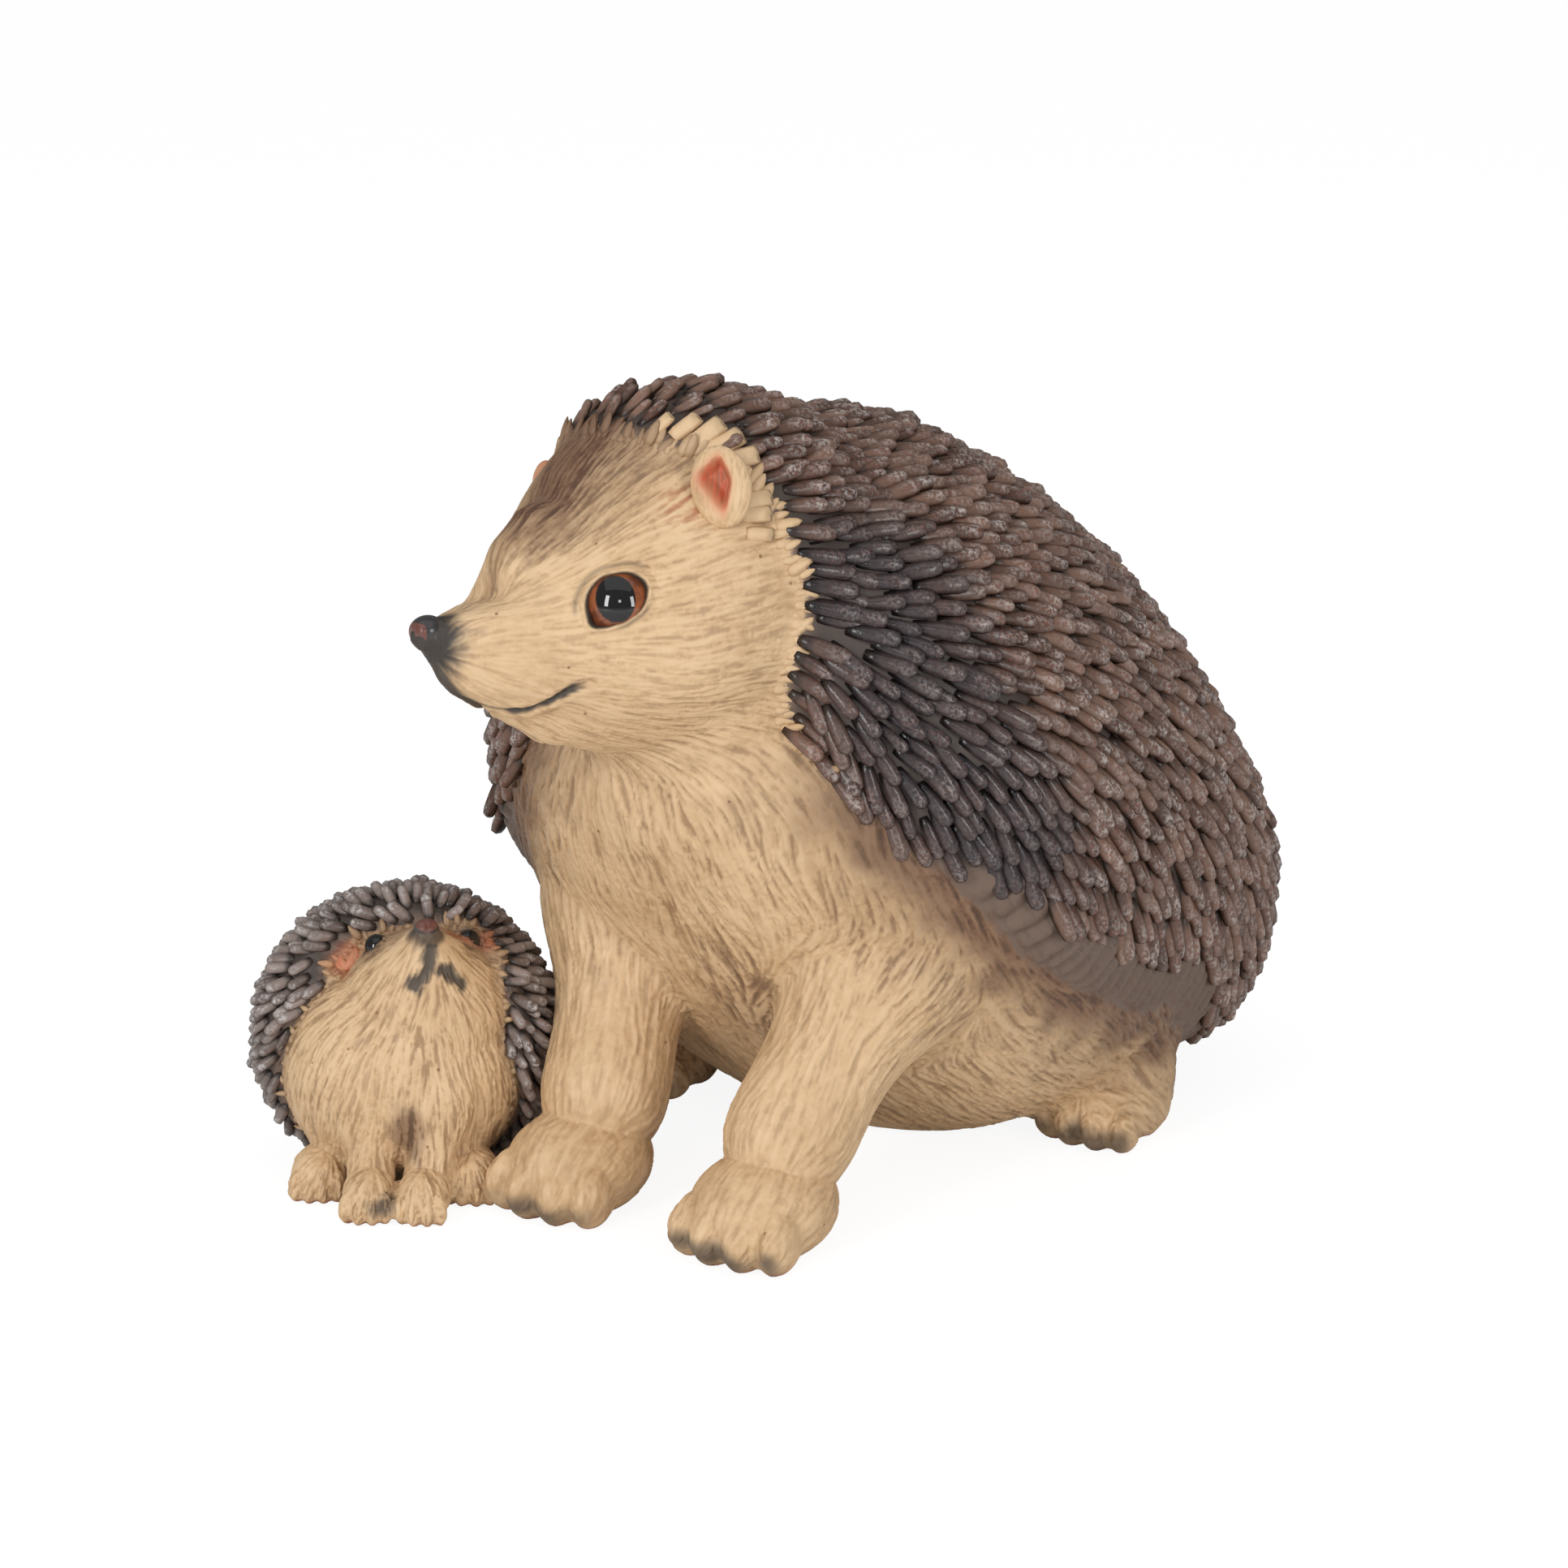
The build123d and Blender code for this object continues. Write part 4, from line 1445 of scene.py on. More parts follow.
    def toe_smudges(self, points: Array, cloud: Array) -> Array:
        """Grey-black paint rubbed on at the tips of the toes."""
        smudge = np.zeros(len(points))
        for paw in self.paws():
            low, high = box_of(paw)
            inside = np.all((points[:, :2] > low[:2] - 2) & (points[:, :2] < high[:2] + 2), axis=1)
            tip = ramp(7.5, 1.5, points[:, 1] - low[1] + 5 * cloud)
            tip = tip * ramp(9.0, 4.0, points[:, 2] + 4 * cloud)
            smudge = np.maximum(smudge, 0.75 * tip * inside)
        return smudge

    def pieces(self, material: Material) -> None:
        """Cuts the skin into pieces and settles each.

        Args:
            material: The fur's paint.
        """
        set_values(self.mesh, "shine", normals_of(self.mesh))
        leftward, ahead, upward = np.eye(3) * np.array([1.0, -1.0, 1.0])
        across = self.head.turn(leftward)
        head, body = halve(self.mesh, self.head.outside(self.neck_spot), self.head.turn(self.neck_way))
        face, crown = halve(head, self.head.outside(ahead * self.face_depth), self.head.turn(ahead))
        front, haunch = halve(body, self.hollow_spot - ahead * self.haunch_behind, ahead)
        chest, foreleg = halve(front, self.hollow_spot, upward)
        middle = np.zeros(3)
        sides = {
            "face": (face, self.head.origin, across),
            "crown": (crown, self.head.origin, across),
            "chest": (chest, middle, leftward),
            "foreleg": (foreleg, middle, leftward),
            "haunch": (haunch, middle, leftward),
        }
        nodes = {
            "left_face": ["head"],
            "left_chest": ["body"],
            "left_foreleg": ["left_foreleg", "left_forepaw"],
            "right_foreleg": ["right_foreleg", "right_forepaw"],
            "left_haunch": ["left_hind_leg", "left_hind_paw"],
            "right_haunch": ["right_hind_leg", "right_hind_paw"],
        }
        for name, (part, spot, way) in sides.items():
            for side, half in zip(Side, halve(part, spot, way)):
                label = f"{side.word}_{name}"
                mine = [f"{self.who}_{node}" for node in nodes.get(label, ())]
                self.settle_part(half, f"{label}_fur", material, mine)


@dataclass
class YoungSkin(Skin):
    """The young one's fur, face, legs and paws, and the ground of its coat.

    Attributes:
        smudges: The two dark strokes of the mouth, in the head's axes.
        nose_spot: The middle of the nose.
        brow: The line over the face from which the quills keep back.
        brow_reach: How far they keep back.
    """

    smudges: tuple[tuple[Triple, ...], ...] = (
        ((0.8, -21.5, -4.0), (0.0, -18.5, -7.0), (-3.5, -14.7, -9.6)),
        ((3.4, -17.0, -7.0), (6.2, -14.8, -7.8), (8.6, -13.0, -8.6)),
    )
    nose_spot: Triple = (0.0, -23.5, 0.4)
    brow: tuple[Triple, ...] = (
        (-18.0, -3.4, 10.5), (-11.7, -11.2, 8.0), (-5.0, -18.5, 6.0), (0.0, -21.5, 4.0),
        (5.0, -18.5, 6.0), (11.7, -11.2, 8.0), (14.5, -8.0, 8.5),
    )
    brow_reach: float = 3.6

    def build(self) -> None:
        """Shapes, carves and paints the whole skin."""
        self.shape_base()
        self.bare_face()
        self.refine(self.near_fur())
        self.snap_back(self.paws(), reach=1.6, share=0.9)
        self.refine(self.near_fur() & (face_middles(self.mesh)[:, 2] > 1.0), 1)
        self.model_details()
        self.paint(self.carve(self.strokes(), Seed.YOUNG_STROKES))

    def near_fur(self) -> Array:
        """The faces that aren't under the quills."""
        return face_means(self.mesh, values_of(self.mesh, "edge")) < 2.0

    def bare_face(self) -> None:
        """Moves the quills' edge back from the eyes, the ears and the nose."""
        own = self.head.inside(points_of(self.mesh))
        brow = rounded_path(self.brow, 40)
        back = self.brow_reach * ramp(11.0, 5.0, beside_path(own, brow, 12.0)[0])
        set_values(self.mesh, "edge", values_of(self.mesh, "edge") - back)

    def band_width(self, points: Array) -> Array:
        """Its quills reach down to the coat's edge."""
        return np.zeros(len(points))

    def smudge_gap(self, own: Array) -> Array:
        """How far points lie from the two dark strokes of its mouth."""
        near = own[(own[:, 1] < -8) & (own[:, 2] < 0)]
        gaps = [beside_path(own, snapped(rounded_path(line, 30), near), 6.0)[0] for line in self.smudges]
        return np.minimum(*gaps)

    def model_details(self) -> None:
        """Presses in the mouth and raises a soft rim round each eye."""
        points = points_of(self.mesh)
        own = self.head.inside(points)
        move = -0.5 * bell(self.smudge_gap(own), 1.1)
        for side in Side:
            eye = middle_of(f"{self.who}_{side.word}_eye")
            gap = lengths(points - eye)
            move += 0.35 * bell(gap - 3.6, 0.6)
        set_points(self.mesh, points + normals_of(self.mesh) * move[:, None])

    def strokes(self) -> Carving:
        """Where the fur runs: away from the nose, and down the chest and the legs."""
        points = points_of(self.mesh)
        normals = normals_of(self.mesh)
        own = self.head.inside(points)
        edge = values_of(self.mesh, "edge")
        nose = self.head.outside(np.array(self.nose_spot))
        flow = unit_rows(points - nose)
        flow[:, 2] -= 0.5 * ramp(50.0, 25.0, points[:, 2])
        flow = tangent(flow + 0.6 * Lattice(Seed.YOUNG_SWIRL).swirl(points, 6.0, 300.0), normals)
        from_nose = lengths(own - np.array(self.nose_spot))
        middle = bell(own[:, 0], 9.0) * ramp(12.0, 22.0, points[:, 2])
        depth = 0.24 * (1 - 0.6 * middle) * ramp(4.0, 14.0, from_nose) + 0.03
        depth = depth * ramp(0.3, 2.5, points[:, 2]) * ramp(4.0, 0.0, edge)
        return Carving(flow, depth, 0.5 * np.ones(len(points)))

    def paint(self, strokes: Array) -> None:
        """Lays the paint over the skin as masks that the material reads.

        Args:
            strokes: How high the carved strokes stand at each point.
        """
        points = points_of(self.mesh)
        own = self.head.inside(points)
        edge = values_of(self.mesh, "edge")
        cloud = Lattice(Seed.YOUNG_CLOUD).at(points, 3.5) - 0.5
        upper = 0.55 * ramp(-1.0, 5.0, own[:, 2] + 4 * cloud) * ramp(2.0, -8.0, own[:, 1])
        rim = 0.3 * ramp(-7.0, -0.5, edge + 4 * cloud)
        between = (middle_of(f"{self.who}_left_forepaw") + middle_of(f"{self.who}_right_forepaw")) / 2
        hollow = lengths((points - between - np.array([0.0, 5.0, 13.0])) / (5.0, 9.0, 11.0))
        brown = np.maximum.reduce([upper, rim, 0.75 * ramp(1.2, 0.3, hollow + 0.5 * cloud)])
        brown = np.clip(brown - 0.06 * np.tanh(strokes), 0, 1)
        grey = ramp(-0.6, 0.6, edge + 0.4 * strokes)
        nose = lengths((own - np.array(self.nose_spot)) / (1.15, 1.0, 1.0))
        black = 0.85 * ramp(5.6, 3.2, nose + 1.6 * cloud)
        black = np.maximum(black, 0.9 * ramp(2.5, 0.6, self.smudge_gap(own) + 2.2 * cloud + 0.25 * strokes))
        red = 0.65 * ramp(1.5, 0.3, points[:, 2] + 0.6 * cloud)
        for side in Side:
            eye = lengths(points - middle_of(f"{self.who}_{side.word}_eye"))
            black = np.maximum(black, 0.7 * ramp(5.2, 2.6, eye + 1.5 * cloud))
            ear = lengths(points - middle_of(f"{self.who}_{side.word}_ear"))
            red = np.maximum(red, 0.6 * ramp(5.6, 2.6, ear + 1.5 * cloud + 0.5 * strokes))
        # Painted shade: the ground under the quills is darkened towards black.
        black = np.maximum(black, 0.7 * ramp(1.5, 5.0, edge))
        far = rounded_path(self.brow[4:], 20) + np.array([0.8, 0.0, -0.6])
        red = np.maximum(red, 0.62 * ramp(3.8, 1.6, beside_path(own, far, 5.0)[0] + 1.6 * cloud))
        toes = lengths((points - between - np.array([0.0, -6.0, -1.0])) / (4.0, 5.0, 3.0))
        black = np.maximum(black, 0.75 * ramp(1.25, 0.5, toes + 0.6 * cloud))
        set_masks(self.mesh, "tint", brown, black, red)
        set_masks(self.mesh, "carve", ramp(0.1, -1.9, strokes), ramp(0.2, 1.8, strokes), grey)

    def pieces(self, material: Material) -> None:
        """Cuts the skin into two pieces and settles each.

        Args:
            material: The fur's paint.
        """
        set_values(self.mesh, "shine", normals_of(self.mesh))
        spot = self.head.origin
        across = self.head.turn((1.0, 0.0, 0.0))
        across[2] = 0.0
        parts = ("body", "head", "left_foreleg", "left_forepaw", "left_hind_paw")
        nodes = {Side.LEFT: parts, Side.RIGHT: ("right_foreleg", "right_forepaw", "right_hind_paw")}
        for side, half in zip(Side, halve(self.mesh, spot, unit(across))):
            mine = [f"{self.who}_{node}" for node in nodes[side]]
            self.settle_part(half, f"{side.word}_fur", material, mine)


@dataclass(frozen=True)
class Quill:
    """The form of one moulded quill or lock of fur, along +y from its root.

    Attributes:
        length: Its length.
        width: Its width.
        thickness: Its thickness.
        stations: Shares of the length where its girth is given.
        girths: The girth at each station, as a share of the largest.
        sides: How many faces go round it.
        notch: How ragged its end is.
        root: How deep its axis starts under the surface.
    """

    length: float
    width: float
    thickness: float
    stations: tuple[float, ...] = (0.0, 0.2, 0.5, 0.8, 0.94, 1.0)
    girths: tuple[float, ...] = (0.7, 0.92, 1.0, 0.98, 0.78, 0.36)
    sides: int = 6
    notch: float = 0.0
    root: float = 0.7

    def mesh(self, name: str) -> Mesh:
        """Makes one quill."""
        girths = self.girths
        shape = bmesh.new()
        ring = bmesh.ops.create_circle(shape, segments=self.sides, radius=self.width / 2)["verts"]
        bmesh.ops.rotate(shape, verts=ring, matrix=Matrix.Rotation(math.pi / 2, 3, "X"))
        bmesh.ops.scale(shape, verts=ring, vec=(girths[0], 1, girths[0] * self.thickness / self.width))
        edges = list({edge for vert in ring for edge in vert.link_edges})
        bmesh.ops.contextual_create(shape, geom=edges)
        for low, high, girth, next_girth in zip(self.stations, self.stations[1:], girths, girths[1:]):
            made = bmesh.ops.extrude_edge_only(shape, edges=edges)["geom"]
            ring = [part for part in made if isinstance(part, bmesh.types.BMVert)]
            edges = [part for part in made if isinstance(part, bmesh.types.BMEdge) and part.is_boundary]
            grow = next_girth / girth
            bmesh.ops.scale(shape, verts=ring, vec=(grow, 1, grow))
            bmesh.ops.translate(shape, verts=ring, vec=(0, (high - low) * self.length, 0))
        ring.sort(key=lambda vert: math.atan2(vert.co.z, vert.co.x))
        bmesh.ops.translate(shape, verts=ring[::2], vec=(0, -self.notch, 0))
        bmesh.ops.contextual_create(shape, geom=edges)
        bmesh.ops.recalc_face_normals(shape, faces=shape.faces)
        bmesh.ops.translate(shape, verts=shape.verts, vec=(0, 0, -self.root))
        return mesh_from(shape, name)

    def height(self, own: Array) -> Array:
        """How high points of its mesh lie over its axis, as a share of half its thickness."""
        return (own[:, 2] + self.root) / (self.thickness / 2)


def planted(
    quill: Quill, name: str, points: Array, normals: Array, ways: Array, sizes: Array
) -> tuple[Mesh, Array]:
    """Sets copies of one quill on a surface.

    Args:
        quill: The quill's form.
        name: The name of the joined mesh.
        points: Where each root is.
        normals: The surface's normals there.
        ways: The direction of each quill.
        sizes: The size of each quill, where 1 is the form's own.

    Returns:
        The joined mesh in metres, and the points of one quill in its own axes.
    """
    template = quill.mesh(f"{name}_template")
    own = points_of(template)
    side = unit_rows(np.cross(ways, normals))
    rise = np.cross(side, ways)
    placed = points[:, None] + sizes[:, None, None] * (
        own[None, :, 0:1] * side[:, None] + own[None, :, 1:2] * ways[:, None]
        + own[None, :, 2:3] * rise[:, None]
    )
    heap = bmesh.new()
    for _ in range(len(points)):
        heap.from_mesh(template)
    mesh = mesh_from(heap, name)
    set_points(mesh, placed.reshape(-1, 3) * MM)
    bpy.data.meshes.remove(template)
    return mesh, own


def thinned(points: Array, spacing: float, seed: int) -> Array:
    """Numbers of points that lie at least a spacing apart, taken in a random order."""
    alive = np.ones(len(points), bool)
    kept = []
    for pick in np.random.default_rng(seed).permutation(len(points)):
        if alive[pick]:
            kept.append(pick)
            alive &= np.sum((points - points[pick]) ** 2, axis=1) > spacing**2
    return np.array(kept, int)


@dataclass
class QuillCoat:
    """The overlapping moulded quills of a coat.

    Attributes:
        skin: The skin that they stand on.
        name: The piece's name.
        quill: The form of one quill.
        along: The distance between quills in a file.
        across: The distance between files.
        lift: How steeply a quill stands, in degrees.
        overhang: How far the first roots lie outside the coat's edge.
        lowest: The height under which there are no roots and no tips.
        seed: The seed of their places.
        candidates: How many places are tried for each quill.
        tip_reach: How far a tip may lie outside the coat's edge.
        tip_gap: The largest gap under a tip, as a share of the length.
        room: How far the roots keep from the lines below.
        around: Lines that stay clear of quills, in the head's axes.
    """

    skin: Skin
    name: str
    quill: Quill
    along: float
    across: float
    lift: float
    overhang: float
    lowest: float
    seed: int
    candidates: int = 24
    tip_reach: float = 1.5
    tip_gap: float = 0.3
    room: float = 3.4
    around: Sequence[tuple[Triple, Triple]] = ()

    def flow(self, points: Array, normals: Array) -> Array:
        """The direction in which the quills lie."""
        head = self.skin.head
        own = head.inside(points)
        steep = np.radians(12 + 66 * ramp(185.0, 60.0, points[:, 2]))
        body = np.stack([0.25 * np.sign(points[:, 0]) * np.cos(steep), np.cos(steep), -np.sin(steep)], axis=1)
        crown = unit_rows(own - np.array([0.0, -34.0, 12.0]))
        crown = head.turn(crown)
        on_head = (ramp(34.0, 8.0, own[:, 1]) * ramp(-18.0, 10.0, own[:, 2]))[:, None]
        return tangent(body * (1 - on_head) + crown * on_head, normals)

    def shrink(self, points: Array) -> Array:
        """How much of its full size each quill has: less on the front of the crown."""
        own = self.skin.head.inside(points)
        return 1 - 0.3 * ramp(22.0, 34.0, own[:, 2]) * ramp(12.0, -8.0, own[:, 1])

    def order(self, points: Array) -> Array:
        """Which roots are set first: those at the front and the top."""
        return points @ np.array([0.0, 1.0, -0.8])

    def night(self, points: Array) -> Array:
        """The blue-black patch behind the shoulder."""
        patch = rounded_path(((56.0, -64.0, 160.0), (70.0, -60.0, 128.0), (82.0, -44.0, 104.0)))
        return ramp(30.0, 8.0, beside_path(points, patch, 32.0)[0])

    def ground(self) -> tuple[Array, Array]:
        """Candidate places spread over the coat: points and normals."""
        mesh = self.skin.mesh
        middles = face_middles(mesh)
        depth = face_means(mesh, values_of(mesh, "edge"))
        areas = read(mesh.polygons, "area", 1).astype(np.float32)
        facing = read(mesh.polygons, "normal", 3)
        wanted = (depth > self.skin.band_width(middles) - self.overhang) & (middles[:, 2] > self.lowest)
        areas = np.where(wanted, areas, 0.0)
        count = int(areas.sum() / (self.along * self.across) * self.candidates)
        rng = np.random.default_rng(self.seed)
        picks = rng.choice(len(areas), size=count, p=areas / areas.sum())
        spread = tangent(rng.normal(size=(count, 3)), facing[picks])
        spread = spread * (rng.random((count, 1)) * self.skin.grain / 2)
        points, normals = middles[picks] + spread, facing[picks]
        covered = self.covered(points, normals, middles, depth)
        return points[covered], normals[covered]

    def covered(
        self, points: Array, normals: Array, middles: Array, depth: Array
    ) -> Array:
        """Which roots have quills whose tips end over the coat too, close above it.

        Args:
            points: The roots.
            normals: The surface's normals there.
            middles: The middles of the skin's faces.
            depth: How far those lie inside the coat's edge.

        Returns:
            One truth value per root.
        """
        near = KDTree(len(middles))
        for number, middle in enumerate(middles):
            near.insert(Vector(middle), number)
        near.balance()
        tips = points + self.flow(points, normals) * self.quill.length
        found = [near.find(Vector(tip)) for tip in tips]
        under = np.array([number for _, number, _ in found])
        gap = np.array([distance for _, _, distance in found])
        inside = depth[under] > self.skin.band_width(middles[under]) - self.tip_reach
        own = to_left(self.skin.head.inside(points))
        clear = tips[:, 2] > self.lowest
        for start, end in self.around:
            clear &= to_segment(own, np.array(start), np.array(end)) > self.room
        return inside & clear & (gap < self.tip_gap * self.quill.length)

    def places(self) -> tuple[Array, Array, Array]:
        """Where each quill stands: points, normals and directions."""
        points, normals = self.ground()
        flow = self.flow(points, normals)
        rng = np.random.default_rng(self.seed + 1)
        order = np.argsort(self.order(points) + rng.normal(size=len(points)) * self.along / 4)
        alive = np.ones(len(points), bool)
        kept = []
        for pick in order:
            if not alive[pick]:
                continue
            kept.append(pick)
            gap = points - points[pick]
            ahead = gap @ flow[pick]
            beside = np.sqrt(np.maximum(np.sum(gap * gap, axis=1) - ahead**2, 0))
            alive &= (ahead / self.along) ** 2 + (beside / self.across) ** 2 > 1
        return points[kept], normals[kept], flow[kept]

    def build(self, material: Material, nodes: Sequence[str]) -> None:
        """Sets all the quills on the skin, in one piece for each side.

        Args:
            material: The quills' paint.
            nodes: The nodes that they stand for.
        """
        points, normals, flow = self.places()
        rng = np.random.default_rng(self.seed + 2)
        total = len(points)
        sway = np.radians(rng.normal(size=total) * 6)[:, None]
        lift = np.radians(self.lift + rng.normal(size=total) * 2.5)[:, None]
        across = np.cross(flow, normals)
        ahead = unit_rows(flow * np.cos(sway) + across * np.sin(sway))
        ways = ahead * np.cos(lift) + normals * np.sin(lift)
        sizes = (1 + rng.normal(size=total) * 0.08) * self.shrink(points)
        tone, night = rng.random(total), self.night(points)
        middle = np.median(points[:, 0])
        for side in Side:
            mine = (points[:, 0] - middle) * side.value > 0
            name = f"{self.skin.who}_{side.word}_{self.name}"
            mesh, own = planted(self.quill, name, points[mine], normals[mine], ways[mine], sizes[mine])
            raised = ramp(-0.4, 0.95, self.quill.height(own)) * ramp(0.0, 0.75, own[:, 1] / self.quill.length)
            size, count = len(own), int(mine.sum())
            tones, nights = np.repeat(tone[mine], size), np.repeat(night[mine], size)
            set_masks(mesh, "quill", tones, np.tile(raised, count), nights)
            settle(new_object(name, mesh), material, nodes if side is Side.LEFT else ())


@dataclass
class YoungCoat(QuillCoat):
    """The young one's shorter, steeper quills, which point away from its face.

    Attributes:
        face: The middle of the face, in the head's axes.
        eye_room: How far they keep from the eyes.
        ear_room: How far they keep from the ears.
    """

    face: Triple = (0.0, -26.0, -6.0)
    eye_room: float = 5.5
    ear_room: float = 5.0

    def flow(self, points: Array, normals: Array) -> Array:
        """The direction in which the quills lie."""
        face = self.skin.head.outside(self.face)
        return tangent(unit_rows(points - face) + np.array([0.0, 0.0, -0.25]), normals)

    def order(self, points: Array) -> Array:
        """Which roots are set first: those nearest to the face."""
        face = self.skin.head.outside(self.face)
        return lengths(points - face)

    def ground(self) -> tuple[Array, Array]:
        """Candidate places that keep clear of the eyes and the ears."""
        points, normals = super().ground()
        clear = np.ones(len(points), bool)
        for side in Side:
            for feature, room in (("eye", self.eye_room), ("ear", self.ear_room)):
                spot = middle_of(f"{self.skin.who}_{side.word}_{feature}")
                clear &= lengths(points - spot) > room
        return points[clear], normals[clear]

    def shrink(self, points: Array) -> Array:
        """All its quills are alike."""
        return np.ones(len(points))

    def night(self, points: Array) -> Array:
        """It has no blue-black patch."""
        return np.zeros(len(points))


@dataclass
class EdgeLocks:
    """Pointed locks of fur that lie over the roots of the first quills.

    Attributes:
        skin: The skin that they grow from.
        quill: The form of one lock.
        spacing: The distance between them.
        rows: How far before the coat's edge each row has its roots.
        lift: How steeply they stand, in degrees.
        lowest: The height under which there are none.
        seed: The seed of their places.
    """

    skin: Skin
    quill: Quill
    spacing: float
    rows: tuple[float, ...]
    lift: float
    lowest: float
    seed: int

    def build(self, material: Material) -> None:
        """Sets the locks, painted as the fur at their roots is.

        Args:
            material: The fur's paint.
        """
        mesh = self.skin.mesh
        points, normals = points_of(mesh), normals_of(mesh)
        edge = values_of(mesh, "edge")
        roots = []
        for number, row in enumerate(self.rows):
            near = np.flatnonzero((np.abs(edge - row) < 0.5) & (points[:, 2] > self.lowest))
            roots.append(near[thinned(points[near], self.spacing, self.seed + number)])
        roots = np.concatenate(roots)
        rim = np.flatnonzero(np.abs(edge) < 6)[::7]
        ways = []
        for root in roots:
            gap = points[rim] - points[root]
            weight = (edge[rim] - edge[root]) * (np.sum(gap * gap, axis=1) < 36)
            ways.append(gap.T @ weight)
        rng = np.random.default_rng(self.seed)
        ways = tangent(np.array(ways), normals[roots])
        ways = tangent(ways + 0.22 * rng.normal(size=ways.shape), normals[roots])
        lift = math.radians(self.lift)
        ways = ways * math.cos(lift) + normals[roots] * math.sin(lift)
        sizes = 1 + 0.18 * rng.normal(size=len(roots))
        name = f"{self.skin.who}_edge_locks"
        locks, own = planted(self.quill, name, points[roots], normals[roots], ways, np.clip(sizes, 0.6, 1.4))
        top = ramp(-0.3, 0.9, self.quill.height(own))
        set_values(locks, "tint", np.repeat(values_of(mesh, "tint", 4)[roots], len(own), axis=0))
        shade_locks(locks, top, 0.75)
        settle(new_object(name, locks), material)


@dataclass
class EarTufts:
    """Broad blunt cream locks behind and above each of the mother's ears.

    Attributes:
        skin: The skin that they grow from.
        quill: The form of one lock.
        lines: Where each starts and ends, in the head's axes on her left.
    """

    skin: Skin
    quill: Quill
    lines: tuple[tuple[Triple, Triple], ...] = (
        ((37.0, -5.5, 28.2), (38.2, 2.4, 27.4)),
        ((38.0, -5.0, 23.6), (38.0, 3.2, 22.8)),
        ((38.0, -4.6, 19.0), (38.6, 2.6, 18.2)),
        ((38.0, -4.2, 14.8), (38.8, 1.6, 13.8)),
        ((35.0, -6.0, 32.6), (36.0, 2.2, 33.2)),
        ((31.4, -7.2, 35.4), (31.6, 2.0, 37.2)),
        ((27.4, -8.6, 36.6), (28.2, -0.4, 39.6)),
        ((23.2, -11.2, 38.6), (25.0, -4.4, 41.8)),
        ((18.6, -13.6, 39.4), (21.4, -9.0, 42.6)),
    )

    def build(self, material: Material) -> None:
        """Sets the locks on both sides of the head.

        Args:
            material: The fur's paint.
        """
        mesh = self.skin.mesh
        points, normals = points_of(mesh), normals_of(mesh)
        near = np.flatnonzero(lengths(self.skin.head.inside(points)) < 70)
        roots, ways, sizes = [], [], []
        for side in Side:
            flip = np.array([side.value, 1.0, 1.0])
            for start, end in self.lines:
                spots = self.skin.head.outside(np.array([start, end]) * flip)
                roots.append(near[np.argmin(np.sum((points[near] - spots[0]) ** 2, axis=1))])
                ways.append(spots[1] - spots[0])
                sizes.append(np.linalg.norm(spots[1] - spots[0]) / self.quill.length)
        roots = np.array(roots)
        ways = tangent(np.array(ways), normals[roots]) + 0.16 * normals[roots]
        name = f"{self.skin.who}_ear_tufts"
        locks, own = planted(
            self.quill, name, points[roots], normals[roots], unit_rows(ways), np.clip(sizes, 0.8, 1.2))
        top = ramp(-0.3, 0.9, self.quill.height(own))
        set_masks(locks, "tint", 0.0, 0.0, 0.0)
        shade_locks(locks, top, 0.8)
        settle(new_object(name, locks), material)


# Eyes, noses and ears


def own_axes(look: Sequence[float]) -> Array:
    """The directions across, up and ahead of a feature that faces a direction, one per column."""
    ahead = unit(look)
    level = unit(np.cross((0.0, -0.12, 1.0), ahead))
    return np.stack([level, np.cross(ahead, level), ahead], axis=1)


def in_head(mesh: Mesh, own: Array, head: HeadPlace, side: Side) -> None:
    """Moves a feature's points, given in the head's axes for her left, to one side of a head.

    Args:
        mesh: The feature's mesh, whose faces turn over where it is mirrored.
        own: The points.
        head: The head's place.
        side: The side of the head.
    """
    set_points(mesh, head.outside(own * np.array([side.value, 1.0, 1.0])) * MM)
    if side is Side.RIGHT:
        mesh.flip_normals()


@dataclass
class Eyes:
    """A pair of glossy painted eyes.

    Attributes:
        who: The first word of the nodes' names.
        head: The head's place.
        spot: The middle of the left eye's opening in the head's axes.
        look: The direction that it faces.
        radius: The ball's radius.
        front: How far the ball stands ahead of that middle.
        pupil: Half the pupil's width and height.
        pupil_share: How far out the paint has the pupil's edge.
    """

    who: str
    head: HeadPlace
    spot: Triple
    look: Triple
    radius: float
    front: float
    pupil: tuple[float, float]
    pupil_share: float = EyePaint.pupil_share

    def build(self, material: Material) -> None:
        """Makes both balls.

        Args:
            material: The eyes' paint.
        """
        axes = own_axes(self.look)
        for side in Side:
            shape = bmesh.new()
            bmesh.ops.create_uvsphere(shape, u_segments=64, v_segments=48, radius=self.radius)
            name = f"{self.who}_{side.word}_eyeball"
            mesh = mesh_from(shape, name)
            ball = points_of(mesh)
            out = np.hypot(ball[:, 0] / self.pupil[0], ball[:, 1] / self.pupil[1]) * self.pupil_share
            gaze = np.where(ball[:, 2] > 0, np.minimum(out, 1.0), 1.0)
            set_masks(mesh, "gaze", gaze, gaze, gaze)
            middle = np.array(self.spot) + axes[:, 2] * (self.front - self.radius)
            in_head(mesh, ball @ axes.T + middle, self.head, side)
            settle(new_object(name, mesh), material, [f"{self.who}_{side.word}_eye"])


